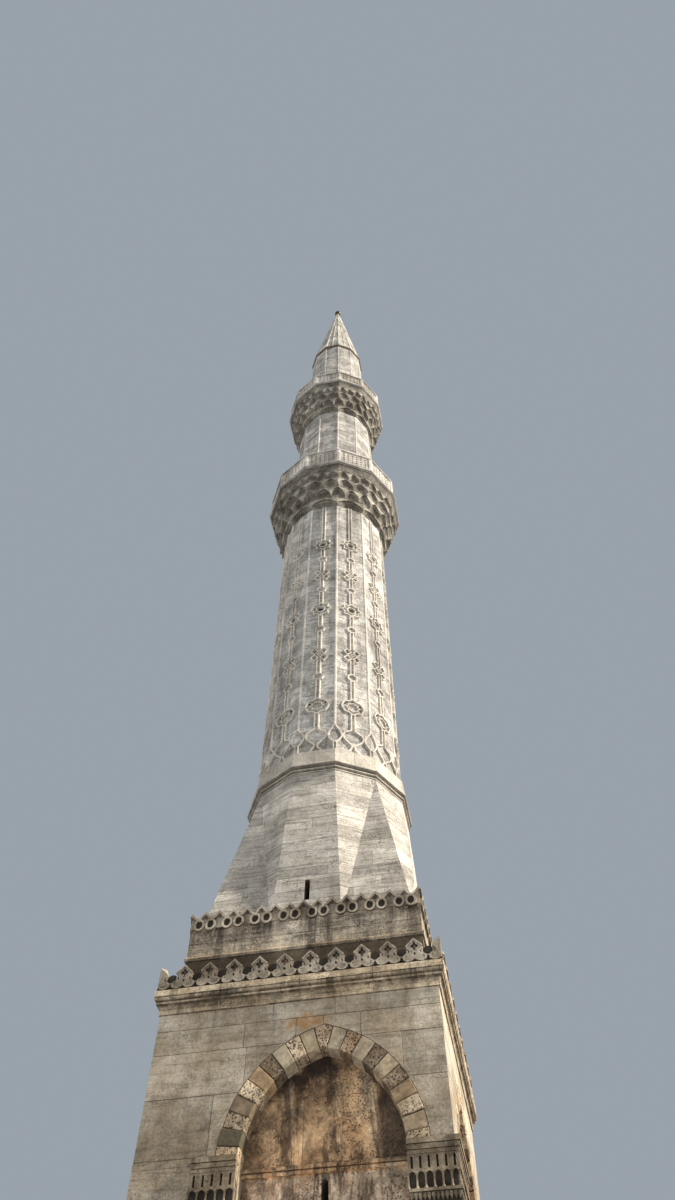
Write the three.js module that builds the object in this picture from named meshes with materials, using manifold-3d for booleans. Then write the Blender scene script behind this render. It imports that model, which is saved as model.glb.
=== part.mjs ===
// Stone minaret with two balconies, a 1:2 scale model of a tower about 55 m high.
// Square base with blind arches, crested storey, folded transition, twelve-sided shaft,
// corbelled balconies, upper shaft, drum, leaded cone and ball.
// All sizes are those of the model, in millimetres. +Z is up, the front faces -Y, and the
// origin is at the centre of the plinth's underside.

import * as THREE from 'three';
import { mergeVertices } from 'three/addons/utils/BufferGeometryUtils.js';
import { ConvexGeometry } from 'three/addons/geometries/ConvexGeometry.js';
import Module from 'manifold-3d';

const wasm = await Module();
wasm.setup();

// Joints between separate stones
const JOINT = 0.3;

// Number of sides of the base and of the tower above it
const SQUARE = 4;
const SIDES = 12;

// Levels of the base
const PLINTH_TOP = 250;
const BASE_TOP = 4620;
const CORNICE_TOP = 4805;
const CREST_TOP = 5005;

// Half widths of the square parts
const PLINTH_HALF = 1100;
const PLINTH_BEVEL = 45;
const BASE_HALF = 1052;
const CHAMBER_HALF = 600;
const CORNICE_HALF = 1108;

// Blind arch of the base. The front and back arches stand off the middle, away from the
// building on the left.
const ARCH_CENTRE = 204;
const ARCH_SPRING = 3550;
const ARCH_HALF = 549;
const ARCH_RISE = 710;
const ARCH_RING = 155;
const ARCH_STEPS = 10;
const NICHE_DEPTH = 130;
const NICHE_SILL = 700;
const JAMB_WIDTH = 82;
const STRING_HEIGHT = 52;
const STRING_DEPTH = 34;

// Capitals at the springing of the arches
const CAPITAL_BOTTOM = 3230;
const CAPITAL_TOP = 3585;
const CAPITAL_REACH = 42;
const CAPITAL_WIDTH = 300;

// Slit windows
const SLIT_WIDTH = 46;
const BASE_SLIT_BOTTOM = 3020;
const BASE_SLIT_TOP = 3470;
const SHOE_SLIT_BOTTOM = 5650;
const SHOE_SLIT_TOP = 5868;

// Doorway in the side that stands against the building
const DOOR_WIDTH = 420;
const DOOR_TOP = 1250;

// Upper storey of the base
const TIER_HALF = 957;
const TIER_TOP = 5425;
const TIER_STRING_BOTTOM = 5122;
const TIER_STRING_TOP = 5162;
const TIER_STRING_REACH = 14;

// Crest of palmettes on the cornice
const CREST_SETBACK = 8;
const CREST_THICKNESS = 45;
const CREST_COUNT = 11;

// Frieze of small peaks on the upper storey
const FRIEZE_REACH = 6;
const FRIEZE_THICKNESS = 60;
const FRIEZE_TOP = 5582;
const FRIEZE_COUNT = 16;

// Folded transition from the square to twelve sides, called the shoe
const SHOE_HALF = TIER_HALF + FRIEZE_REACH - FRIEZE_THICKNESS - JOINT;
const SHOE_TOP_APOTHEM = 805;
const SHOE_TOP = 7250;

// Ring moulding at the foot of the shaft
const RING_TOP = 7560;
const RING_APOTHEM = 822;

// Shafts, given by the distance from the axis to a side
const STAIR_APOTHEM = 450;
const LOWER_APOTHEM = 755;
const LOWER_TOP = 13165;
const UPPER_APOTHEM = 675;
const UPPER_STAIR_APOTHEM = 420;
const UPPER_TOP = 17450;

// Balconies
const LOWER_FLOOR_BOTTOM = 14120;
const LOWER_FLOOR_TOP = 14200;
const LOWER_RAIL_TOP = 14690;
const LOWER_BALCONY_APOTHEM = 1055;
const UPPER_FLOOR_BOTTOM = 18480;
const UPPER_FLOOR_TOP = 18555;
const UPPER_RAIL_TOP = 19040;
const UPPER_BALCONY_APOTHEM = 942;
const FLOOR_LIP = 20;
const CORBEL_TIERS = 5;
const PANEL_THICKNESS = 70;
const COPING_HEIGHT = 50;
const COPING_REACH = 12;

// Balcony doorways, on the side away from the front
const BALCONY_DOOR_WIDTH = 280;
const BALCONY_DOOR_HEIGHT = 900;

// Drum, eaves, cone and ball
const DRUM_APOTHEM = 565;
const DRUM_STAIR_APOTHEM = 350;
const DRUM_TOP = 22070;
const EAVES_TOP = 22177;
const EAVES_APOTHEM = 593;
const CONE_FOOT_APOTHEM = 572;
const CONE_TIP_APOTHEM = 37;
const CONE_TOP = 27010;
const CONE_SHELL = 60;
const CONE_SOLID_FROM = 26020;
const BALL_RADIUS = 83;
const BALL_CENTRE = 27198;
const NECK_RADIUS = 30;
const NECK_COLLAR = 48;

// Stone and metal finishes
const finishes = {
  ashlar: new THREE.MeshStandardMaterial({ color: 0xc9bda6, roughness: 0.9, metalness: 0 }),
  marble: new THREE.MeshStandardMaterial({ color: 0xbfb8a8, roughness: 0.75, metalness: 0 }),
  voussoir: new THREE.MeshStandardMaterial({ color: 0xa2988a, roughness: 0.9, metalness: 0 }),
  shaft: new THREE.MeshStandardMaterial({ color: 0xd2c8b6, roughness: 0.88, metalness: 0 }),
  carving: new THREE.MeshStandardMaterial({ color: 0x9d9484, roughness: 0.9, metalness: 0 }),
  corbel: new THREE.MeshStandardMaterial({ color: 0x7f7363, roughness: 0.92, metalness: 0 }),
  lead: new THREE.MeshStandardMaterial({ color: 0x9ba0a4, roughness: 0.6, metalness: 0.4 }),
  ball: new THREE.MeshStandardMaterial({ color: 0x4a4640, roughness: 0.6, metalness: 0.6 }),
};

// Makes a solid from a closed geometry, with its faces turned outwards.
function solid(geometry) {
  geometry.deleteAttribute('normal');
  geometry.deleteAttribute('uv');
  const merged = mergeVertices(geometry, 0.002);
  const points = merged.getAttribute('position').array;
  const corners = merged.index.array;
  const triangles = [];
  let volume = 0;
  const a = new THREE.Vector3();
  const b = new THREE.Vector3();
  const c = new THREE.Vector3();
  for (let i = 0; i < corners.length; i += 3) {
    const [p, q, r] = [corners[i], corners[i + 1], corners[i + 2]];
    if (p === q || q === r || r === p) {
      continue;
    }
    triangles.push(p, q, r);
    a.fromArray(points, 3 * p);
    b.fromArray(points, 3 * q);
    c.fromArray(points, 3 * r);
    volume += a.dot(b.cross(c));
  }
  if (volume < 0) {
    triangles.reverse();
  }
  return new wasm.Manifold(new wasm.Mesh({
    numProp: 3,
    vertProperties: Float32Array.from(points),
    triVerts: Uint32Array.from(triangles),
  }));
}

// Upright solid of a regular plan. The outline lists [distance of a side from the axis, height],
// and either starts and ends on the axis or closes on itself. One side faces the front.
function turned(sides, outline) {
  const reach = 1 / Math.cos(Math.PI / sides);
  const profile = outline.map(([distance, height]) => new THREE.Vector2(distance * reach, height));
  const geometry = new THREE.LatheGeometry(profile, sides, Math.PI / sides, 2 * Math.PI);
  geometry.rotateX(Math.PI / 2);
  return solid(geometry);
}

// Ring of a regular plan between an inner opening and an outer outline.
function ring(sides, inner, outline) {
  const bottom = outline[0][1];
  const top = outline[outline.length - 1][1];
  return turned(sides, [[inner, bottom], ...outline, [inner, top], [inner, bottom]]);
}

// Box between two opposite corners
function box(low, high) {
  const size = high.map((value, i) => value - low[i]);
  const geometry = new THREE.BoxGeometry(...size);
  geometry.translate(...low.map((value, i) => value + size[i] / 2));
  return solid(geometry);
}

// Plate whose outline is drawn in x and z, from one depth in y to another
function plate(outline, nearY, farY) {
  const shape = new THREE.Shape(outline.map(([x, z]) => new THREE.Vector2(x, z)));
  const geometry = new THREE.ExtrudeGeometry(shape, { depth: farY - nearY, bevelEnabled: false });
  geometry.rotateX(Math.PI / 2);
  geometry.translate(0, farY, 0);
  return solid(geometry);
}

// Plate whose outline is drawn in x and y, from one height to another
function slab(outline, bottom, top) {
  const shape = new THREE.Shape(outline.map(([x, y]) => new THREE.Vector2(x, y)));
  const geometry = new THREE.ExtrudeGeometry(shape, { depth: top - bottom, bevelEnabled: false });
  geometry.translate(0, 0, bottom);
  return solid(geometry);
}

// Convex block around a few corners
function block(corners) {
  return solid(new ConvexGeometry(corners.map((corner) => new THREE.Vector3(...corner))));
}

const minaret = new THREE.Group();

// Adds a finished piece, turned about the tower's axis by a number of degrees.
function add(name, piece, finish, turn = 0) {
  const result = piece.getMesh();
  const geometry = new THREE.BufferGeometry();
  geometry.setAttribute('position', new THREE.BufferAttribute(result.vertProperties, 3));
  geometry.setIndex(new THREE.BufferAttribute(result.triVerts, 1));
  geometry.computeVertexNormals();
  const mesh = new THREE.Mesh(geometry, finishes[finish].clone());
  mesh.name = name;
  mesh.rotation.z = THREE.MathUtils.degToRad(turn);
  minaret.add(mesh);
}

// Turns that carry a front piece to the other sides of the tower
const turns = { front: 0, right: 90, back: 180, left: 270 };

// Pointed arch

// Half of an arch of two centres, from the springing on the right up to the crown.
// The widening is the distance outwards from the inner curve.
function halfArch(half, rise, widening, spring) {
  const offset = (rise * rise - half * half) / (2 * half);
  const radius = half + offset + widening;
  const crown = Math.acos(offset / radius);
  const points = [];
  for (let i = 0; i <= ARCH_STEPS; i += 1) {
    const angle = (crown * i) / ARCH_STEPS;
    points.push([radius * Math.cos(angle) - offset, spring + radius * Math.sin(angle)]);
  }
  points[ARCH_STEPS][0] = 0;
  return points;
}

// Whole outline of the arch, from the right springing over the crown to the left one
function archLine(half, rise, widening, spring) {
  const right = halfArch(half, rise, widening, spring);
  const left = right.slice(0, -1).reverse().map(([x, z]) => [-x, z]);
  return [...right, ...left];
}

// Slit window with a pointed head
function slit(centre, bottom, top, nearY, farY) {
  const half = SLIT_WIDTH / 2;
  const head = archLine(half, 1.4 * half, 0, top - 1.4 * half);
  const outline = [[-half, bottom], [half, bottom], ...head];
  return plate(outline.map(([x, z]) => [x + centre, z]), nearY, farY);
}

// Base: plinth, walls and blind arches

add('plinth', turned(SQUARE, [
  [0, 0],
  [PLINTH_HALF, 0],
  [PLINTH_HALF, PLINTH_TOP - PLINTH_BEVEL],
  [PLINTH_HALF - PLINTH_BEVEL, PLINTH_TOP],
  [0, PLINTH_TOP],
]), 'marble');

// Wall of the base whose ends meet the next walls at the corners' diagonals
function baseWall() {
  const gap = JOINT / 2;
  return slab([
    [-BASE_HALF + gap, -BASE_HALF],
    [BASE_HALF - gap, -BASE_HALF],
    [CHAMBER_HALF - gap, -CHAMBER_HALF],
    [-CHAMBER_HALF + gap, -CHAMBER_HALF],
  ], PLINTH_TOP + JOINT, BASE_TOP);
}

// Hollow of the blind arch: the arch ring's seat above and the niche below it
function nicheHollow(centre) {
  const jamb = ARCH_HALF + JAMB_WIDTH;
  const arch = archLine(ARCH_HALF, ARCH_RISE, ARCH_RING + JOINT, ARCH_SPRING);
  const outer = [[-arch[0][0], ARCH_SPRING], [arch[0][0], ARCH_SPRING], ...arch.slice(1, -1)];
  const near = -BASE_HALF - 10;
  const far = -BASE_HALF + NICHE_DEPTH;
  const head = plate(outer, near, far);
  const foot = box([-jamb - JOINT, near, NICHE_SILL], [jamb + JOINT, far, ARCH_SPRING + 1]);
  return head.add(foot).translate(centre, 0, 0);
}

// Arch ring with the round mouldings of the jambs and the string course between them
function archRing(centre) {
  const near = -BASE_HALF;
  const far = -BASE_HALF + NICHE_DEPTH - JOINT;
  const outer = archLine(ARCH_HALF, ARCH_RISE, ARCH_RING, ARCH_SPRING);
  const inner = archLine(ARCH_HALF, ARCH_RISE, 0, ARCH_SPRING).reverse();
  let arch = plate([...outer, ...inner], near, far);
  const radius = JAMB_WIDTH / 2;
  for (const side of [-1, 1]) {
    const x = side * (ARCH_HALF + radius);
    const shaft = new THREE.CylinderGeometry(radius, radius, ARCH_SPRING - NICHE_SILL, SIDES);
    shaft.rotateX(Math.PI / 2);
    shaft.translate(x, near + radius + 6, (ARCH_SPRING + NICHE_SILL) / 2);
    const back = box(
      [x - radius, near + radius + 6, NICHE_SILL + JOINT],
      [x + radius, far, ARCH_SPRING + 1],
    );
    const trimmed = solid(shaft).intersect(
      box([x - 2 * radius, near - 1, NICHE_SILL + JOINT], [x + 2 * radius, far, ARCH_SPRING + 1]),
    );
    arch = arch.add(trimmed).add(back);
  }
  const string = box(
    [-ARCH_HALF - 4, far - STRING_DEPTH, ARCH_SPRING - STRING_HEIGHT],
    [ARCH_HALF + 4, far, ARCH_SPRING],
  );
  const groove = box(
    [-ARCH_HALF + 1, far - STRING_DEPTH - 1, ARCH_SPRING - 0.58 * STRING_HEIGHT],
    [ARCH_HALF - 1, far - STRING_DEPTH / 2, ARCH_SPRING - 0.42 * STRING_HEIGHT],
  );
  return arch.add(string.subtract(groove)).translate(centre, 0, 0);
}

// Middle of each blind arch, seen from outside
const archCentres = { front: ARCH_CENTRE, right: 0, back: -ARCH_CENTRE };

for (const [side, centre] of Object.entries(archCentres)) {
  let wall = baseWall().subtract(nicheHollow(centre));
  if (side === 'front') {
    wall = wall.subtract(
      slit(centre, BASE_SLIT_BOTTOM, BASE_SLIT_TOP, -BASE_HALF - 10, -CHAMBER_HALF + 10),
    );
  }
  add(`base_wall_${side}`, wall, 'marble', turns[side]);
  add(`arch_${side}`, archRing(centre), 'voussoir', turns[side]);
}

// Left wall, plain, in three parts around the doorway
const doorHalf = DOOR_WIDTH / 2;
const beyond = BASE_HALF + 10;
add('base_wall_left_back', baseWall().intersect(
  box([-beyond, -beyond, 0], [-doorHalf, beyond, BASE_TOP + 1]),
), 'marble', turns.left);
add('base_wall_left_front', baseWall().intersect(
  box([doorHalf, -beyond, 0], [beyond, beyond, BASE_TOP + 1]),
), 'marble', turns.left);
add('base_wall_over_door', baseWall().intersect(
  box([-doorHalf + JOINT, -beyond, DOOR_TOP], [doorHalf - JOINT, beyond, BASE_TOP + 1]),
), 'marble', turns.left);

// Capital at the springing, the part of a band around the base between two corners in x and y
function capital([lowX, highX], [lowY, highY]) {
  const step = CAPITAL_REACH / 3;
  const band = ring(SQUARE, BASE_HALF + JOINT, [
    [BASE_HALF + step, CAPITAL_BOTTOM],
    [BASE_HALF + 2 * step, CAPITAL_BOTTOM + 110],
    [BASE_HALF + 2 * step, CAPITAL_BOTTOM + 260],
    [BASE_HALF + CAPITAL_REACH, CAPITAL_BOTTOM + 290],
    [BASE_HALF + CAPITAL_REACH, CAPITAL_TOP],
  ]);
  return band.intersect(
    box([lowX, lowY, CAPITAL_BOTTOM - 10], [highX, highY, CAPITAL_TOP + 10]),
  );
}

// The capitals on the right fold around the corner to the next arch. Those on the left end
// where the building stands against the base.
const outside = BASE_HALF + CAPITAL_REACH + 10;
const rightFoot = [ARCH_CENTRE + ARCH_HALF, outside];
const leftFoot = [ARCH_CENTRE - ARCH_HALF - CAPITAL_WIDTH, ARCH_CENTRE - ARCH_HALF];
add('capital_front_right', capital(rightFoot, [-outside, -ARCH_HALF]), 'carving');
add('capital_back_right', capital(rightFoot, [ARCH_HALF, outside]), 'carving');
add('capital_front_left', capital(leftFoot, [-outside, 0]), 'carving');
add('capital_back_left', capital(leftFoot, [0, outside]), 'carving');

// Cornice that closes the base, open in the middle
add('base_cornice', ring(SQUARE, CHAMBER_HALF, [
  [BASE_HALF, BASE_TOP + JOINT],
  [BASE_HALF + 14, BASE_TOP + 18],
  [BASE_HALF + 14, BASE_TOP + 42],
  [BASE_HALF + 34, BASE_TOP + 66],
  [BASE_HALF + 34, BASE_TOP + 84],
  [BASE_HALF + 54, BASE_TOP + 108],
  [CORNICE_HALF, BASE_TOP + 118],
  [CORNICE_HALF, CORNICE_TOP],
]), 'marble');

// Crests of pointed leaves

// Outline from one point of the crest to the next, in parts of the pitch and of the height:
// a pointed head, its waist, the notch between two lobes, and the same again mirrored
const PALMETTE = [
  [0, 1], [0.34, 0.7], [0.2, 0.44], [0.36, 0.36], [0.5, 0.28],
  [0.64, 0.36], [0.8, 0.44], [0.66, 0.7],
];

// The same for the frieze: a small peak and the hollow of the loops between two peaks
const PEAK = [[0, 1], [0.24, 0.62], [0.5, 0.5], [0.76, 0.62]];

// Outline of a row of leaves with a leaf folded around each corner
function leafRow(leaf, half, count, bottom, top) {
  const pitch = (2 * half) / count;
  const points = [[-half, bottom]];
  for (let i = 0; i < count; i += 1) {
    for (const [across, up] of leaf) {
      points.push([-half + pitch * (i + across), bottom + up * (top - bottom)]);
    }
  }
  points.push([half, top]);
  points.push([half, bottom]);
  return points.reverse();
}

// Row of leaves on one side, cut at the corners' diagonals
function crest(leaf, face, thickness, count, bottom, top) {
  const row = plate(leafRow(leaf, face, count, bottom, top), -face, -face + thickness);
  const gap = JOINT / 2;
  const inner = face - thickness;
  const mitre = slab([
    [-face + gap, -face],
    [face - gap, -face],
    [inner - gap, -inner],
    [-inner + gap, -inner],
  ], bottom - 1, top + 1);
  return row.intersect(mitre);
}

for (const [side, turn] of Object.entries(turns)) {
  const palmettes = crest(PALMETTE, CORNICE_HALF - CREST_SETBACK, CREST_THICKNESS, CREST_COUNT,
    CORNICE_TOP + JOINT, CREST_TOP);
  add(`crest_${side}`, palmettes, 'carving', turn);
}

// Upper storey of the base with its thin string course
const tierBody = ring(SQUARE, STAIR_APOTHEM, [
  [TIER_HALF, CORNICE_TOP + JOINT],
  [TIER_HALF, TIER_STRING_BOTTOM],
  [TIER_HALF + TIER_STRING_REACH, TIER_STRING_BOTTOM + 8],
  [TIER_HALF + TIER_STRING_REACH, TIER_STRING_TOP - 8],
  [TIER_HALF, TIER_STRING_TOP],
  [TIER_HALF, TIER_TOP],
]);
add('upper_base', tierBody, 'ashlar');

for (const [side, turn] of Object.entries(turns)) {
  const peaks = crest(PEAK, TIER_HALF + FRIEZE_REACH, FRIEZE_THICKNESS, FRIEZE_COUNT,
    TIER_TOP + JOINT, FRIEZE_TOP);
  add(`frieze_${side}`, peaks, 'carving', turn);
}

// Folded transition: leaning triangles carry the square into twelve sides
function shoe() {
  const bottom = TIER_TOP + JOINT;
  const third = SHOE_HALF / 3;
  const radius = SHOE_TOP_APOTHEM / Math.cos(Math.PI / SIDES);
  const head = [];
  for (let i = 0; i < SIDES; i += 1) {
    const angle = Math.PI / SIDES + (2 * Math.PI * i) / SIDES;
    head.push([radius * Math.cos(angle), radius * Math.sin(angle), SHOE_TOP]);
  }
  const feet = [];
  for (const s of [-1, 1]) {
    for (const t of [-1, 1]) {
      feet.push([s * third, t * SHOE_HALF, bottom], [s * SHOE_HALF, t * third, bottom]);
    }
  }
  let body = block([...head, ...feet]);
  const diagonal = radius * Math.SQRT1_2;
  for (const s of [-1, 1]) {
    for (const t of [-1, 1]) {
      body = body.add(block([
        [s * third, t * SHOE_HALF, bottom],
        [s * SHOE_HALF, t * SHOE_HALF, bottom],
        [s * SHOE_HALF, t * third, bottom],
        [s * diagonal, t * diagonal, SHOE_TOP],
        [0, 0, bottom],
      ]));
    }
  }
  const stair = turned(SIDES, [
    [0, bottom - 10],
    [STAIR_APOTHEM, bottom - 10],
    [STAIR_APOTHEM, SHOE_TOP + 10],
    [0, SHOE_TOP + 10],
  ]);
  const window = slit(0, SHOE_SLIT_BOTTOM, SHOE_SLIT_TOP, -SHOE_HALF - 20, 0);
  return body.subtract(stair).subtract(window);
}

add('shoe', shoe(), 'ashlar');

// Ring moulding and lower shaft

add('shaft_ring', ring(SIDES, STAIR_APOTHEM, [
  [SHOE_TOP_APOTHEM, SHOE_TOP + JOINT],
  [SHOE_TOP_APOTHEM + 10, SHOE_TOP + 12],
  [SHOE_TOP_APOTHEM + 10, SHOE_TOP + 40],
  [RING_APOTHEM + 12, SHOE_TOP + 62],
  [RING_APOTHEM + 12, SHOE_TOP + 92],
  [RING_APOTHEM, SHOE_TOP + 116],
  [RING_APOTHEM, RING_TOP],
]), 'ashlar');

add('lower_shaft', ring(SIDES, STAIR_APOTHEM, [
  [LOWER_APOTHEM, RING_TOP + JOINT],
  [LOWER_APOTHEM, LOWER_TOP],
]), 'shaft');

// Balconies

// Corbel of the balcony in tiers that step outwards
function corbel(inner, from, to, bottom, top) {
  const outline = [];
  const rise = (top - bottom) / CORBEL_TIERS;
  for (let i = 0; i < CORBEL_TIERS; i += 1) {
    const low = from + ((to - from) * i) / CORBEL_TIERS;
    const high = from + ((to - from) * (i + 0.85)) / CORBEL_TIERS;
    const base = bottom + rise * i;
    outline.push([low, base], [high, base + 0.7 * rise], [high, base + rise]);
  }
  return ring(SIDES, inner, outline);
}

// Three sides of the parapet under one coping, cut where the next three begin
function parapet(apothem, bottom, top) {
  const step = (2 * Math.PI) / SIDES;
  const inner = apothem - PANEL_THICKNESS;
  const wall = ring(SIDES, inner, [
    [apothem, bottom],
    [apothem, top - COPING_HEIGHT],
    [apothem + COPING_REACH, top - COPING_HEIGHT + 10],
    [apothem + COPING_REACH, top],
  ]);
  const far = 3 * apothem;
  const edge = 1.5 * step;
  const gap = JOINT / 2;
  const wedge = slab([
    [0, -gap / Math.sin(edge)],
    [-far * Math.sin(edge), -far * Math.cos(edge) - gap / Math.sin(edge)],
    [-far, -2 * far],
    [far, -2 * far],
    [far * Math.sin(edge), -far * Math.cos(edge) - gap / Math.sin(edge)],
  ], bottom - 10, top + 10);
  return wall.intersect(wedge);
}

// Floor of a balcony, a flat ring around the stair
function balconyFloor(inner, apothem, bottom, top) {
  return ring(SIDES, inner, [
    [apothem, bottom + JOINT],
    [apothem + FLOOR_LIP, bottom + JOINT + 15],
    [apothem + FLOOR_LIP, top],
  ]);
}

// Pointed doorway from the stair to the balcony, on the back of the shaft
function balconyDoor(apothem, floor) {
  const half = BALCONY_DOOR_WIDTH / 2;
  const rise = 1.25 * half;
  const spring = floor + BALCONY_DOOR_HEIGHT - rise;
  const outline = [[-half, floor - 10], [half, floor - 10], ...archLine(half, rise, 0, spring)];
  return plate(outline, 0, apothem + 20);
}

add('lower_corbel',
  corbel(STAIR_APOTHEM, LOWER_APOTHEM, LOWER_BALCONY_APOTHEM, LOWER_TOP + JOINT, LOWER_FLOOR_BOTTOM),
  'corbel');
add('lower_balcony_floor',
  balconyFloor(STAIR_APOTHEM, LOWER_BALCONY_APOTHEM, LOWER_FLOOR_BOTTOM, LOWER_FLOOR_TOP),
  'marble');
for (const [side, turn] of Object.entries(turns)) {
  add(`lower_parapet_${side}`,
    parapet(LOWER_BALCONY_APOTHEM, LOWER_FLOOR_TOP + JOINT, LOWER_RAIL_TOP), 'marble', turn);
}

const upperShaft = ring(SIDES, UPPER_STAIR_APOTHEM, [
  [UPPER_APOTHEM, LOWER_FLOOR_TOP + JOINT],
  [UPPER_APOTHEM, UPPER_TOP],
]);
add('upper_shaft', upperShaft.subtract(balconyDoor(UPPER_APOTHEM, LOWER_FLOOR_TOP)), 'shaft');

add('upper_corbel',
  corbel(UPPER_STAIR_APOTHEM, UPPER_APOTHEM, UPPER_BALCONY_APOTHEM, UPPER_TOP + JOINT,
    UPPER_FLOOR_BOTTOM),
  'corbel');
add('upper_balcony_floor',
  balconyFloor(DRUM_STAIR_APOTHEM, UPPER_BALCONY_APOTHEM, UPPER_FLOOR_BOTTOM, UPPER_FLOOR_TOP),
  'marble');
for (const [side, turn] of Object.entries(turns)) {
  add(`upper_parapet_${side}`,
    parapet(UPPER_BALCONY_APOTHEM, UPPER_FLOOR_TOP + JOINT, UPPER_RAIL_TOP), 'marble', turn);
}

// Drum, eaves, cone and ball

const drum = ring(SIDES, DRUM_STAIR_APOTHEM, [
  [DRUM_APOTHEM, UPPER_FLOOR_TOP + JOINT],
  [DRUM_APOTHEM, DRUM_TOP],
]);
add('drum', drum.subtract(balconyDoor(DRUM_APOTHEM, UPPER_FLOOR_TOP)), 'shaft');

add('eaves', ring(SIDES, DRUM_STAIR_APOTHEM, [
  [DRUM_APOTHEM, DRUM_TOP + JOINT],
  [DRUM_APOTHEM + 14, DRUM_TOP + 30],
  [EAVES_APOTHEM, DRUM_TOP + 70],
  [EAVES_APOTHEM, EAVES_TOP],
]), 'marble');

add('cone', turned(SIDES, [
  [CONE_FOOT_APOTHEM - CONE_SHELL, EAVES_TOP + JOINT],
  [CONE_FOOT_APOTHEM, EAVES_TOP + JOINT],
  [CONE_TIP_APOTHEM, CONE_TOP],
  [0, CONE_TOP],
  [0, CONE_SOLID_FROM],
  [CONE_FOOT_APOTHEM - CONE_SHELL, EAVES_TOP + JOINT],
]), 'lead');

// Ball on a short neck
function ballFinial() {
  const outline = [
    new THREE.Vector2(0, CONE_TOP + JOINT),
    new THREE.Vector2(NECK_COLLAR, CONE_TOP + JOINT),
    new THREE.Vector2(NECK_COLLAR, CONE_TOP + 25),
    new THREE.Vector2(NECK_RADIUS, CONE_TOP + 40),
  ];
  const steps = 8;
  const start = Math.asin(NECK_RADIUS / BALL_RADIUS);
  for (let i = 0; i <= steps; i += 1) {
    const angle = start + ((Math.PI - start) * i) / steps;
    const radius = i === steps ? 0 : BALL_RADIUS * Math.sin(angle);
    outline.push(new THREE.Vector2(radius, BALL_CENTRE - BALL_RADIUS * Math.cos(angle)));
  }
  const geometry = new THREE.LatheGeometry(outline, 16);
  geometry.rotateX(Math.PI / 2);
  return solid(geometry);
}

add('ball', ballFinial(), 'ball');

export default minaret;
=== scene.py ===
"""Stone minaret with two balconies, a 1:2 scale model of a tower about 55 m high.

The blocks, mouldings, carving and lead sheets are built around the fixed frame, in metres.
The front faces -Y, and +Z is up.
"""

import math
from random import Random

import bmesh
import bpy
import numpy as np
from mathutils import Matrix, Vector


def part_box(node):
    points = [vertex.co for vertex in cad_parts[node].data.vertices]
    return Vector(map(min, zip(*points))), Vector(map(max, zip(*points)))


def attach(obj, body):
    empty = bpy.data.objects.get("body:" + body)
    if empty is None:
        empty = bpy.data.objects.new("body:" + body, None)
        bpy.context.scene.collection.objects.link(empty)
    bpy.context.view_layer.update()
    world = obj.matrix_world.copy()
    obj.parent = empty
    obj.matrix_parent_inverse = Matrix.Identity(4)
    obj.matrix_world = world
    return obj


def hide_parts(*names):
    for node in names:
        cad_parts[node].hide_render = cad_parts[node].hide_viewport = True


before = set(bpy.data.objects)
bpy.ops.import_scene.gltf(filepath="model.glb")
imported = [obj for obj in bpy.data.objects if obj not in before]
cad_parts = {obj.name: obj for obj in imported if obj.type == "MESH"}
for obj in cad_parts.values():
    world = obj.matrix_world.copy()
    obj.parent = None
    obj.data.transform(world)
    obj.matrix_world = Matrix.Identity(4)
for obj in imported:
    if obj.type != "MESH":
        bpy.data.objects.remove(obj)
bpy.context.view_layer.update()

# Sides of the square base and of the tower above it
SQUARE, SIDES = 4, 12
FRONT = -90.0
QUARTER_TURNS = {"front": 0, "right": 90, "back": 180, "left": 270}
# Half a side of the tower and the cosine towards its corners, for an apothem of 1
HALF_SIDE, CORNER_COSINE = math.tan(math.pi / SIDES), math.cos(math.pi / SIDES)

# Masonry joints and the thin skin of blocks that lies on each core
JOINT = 0.003
SKIN = 0.012
PROUD = 0.003
CHAMFER = 0.0018
UNEVEN = 0.001
# How far skins stop short of the corners, and carving stands above what is under it
CORNER_GAP = 0.0004
LIFT = 0.0005
# Limits that cut nothing off, and lengths too small to count
FAR, TINY = 99.0, 1e-9


def extent(node):
    """Lowest and highest level of a node, and how far it reaches to the front."""
    low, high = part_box(node)
    return low.z, high.z, -low.y


WALL_BOTTOM, WALL_TOP, WALL_HALF = extent("base_wall_front")
_, CORNICE_TOP, CORNICE_HALF = extent("base_cornice")
_, _, CREST_HALF = extent("crest_front")
TIER_BOTTOM, TIER_TOP, _ = extent("upper_base")
_, FRIEZE_TOP, FRIEZE_HALF = extent("frieze_front")
RING_BOTTOM, RING_TOP, _ = extent("shaft_ring")
_, SHAFT_TOP, SHAFT_APOTHEM = extent("lower_shaft")
UPPER_BOTTOM, UPPER_TOP, UPPER_APOTHEM = extent("upper_shaft")
DRUM_BOTTOM, DRUM_TOP, DRUM_APOTHEM = extent("drum")
CONE_BOTTOM, CONE_TOP, CONE_FOOT = extent("cone")
CONE_TIP = 0.037

# Blind arch of the base
ARCH_HALF = 0.549
ARCH_RISE = 0.710
ARCH_RING = 0.155
ARCH_SPRING = 3.55
ARCH_CENTRES = {"front": 0.204, "right": 0.0, "back": -0.204}
NICHE_BACK = WALL_HALF - 0.13
NICHE_SILL = 0.70
JAMB_WIDTH = 0.082
STRING_BOTTOM = 3.498
SLIT_HALF = 0.023

# Half width of the upper storey and the levels of its thin string course
TIER_HALF = 0.957
TIER_STRING = (5.122, 5.162)


# Geometry helpers


class Face:
    """Plane with its own axes: u across, v up along it and d outwards."""

    def __init__(self, origin, across, up, out, slope=None):
        self.origin, self.across, self.up, self.out = np.array((origin, across, up, out), float)
        self.slope = slope

    def at(self, u, v, d):
        if self.slope is not None:
            u = max(-d * self.slope, min(d * self.slope, u))
        return tuple(self.origin + u * self.across + v * self.up + d * self.out)


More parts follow.
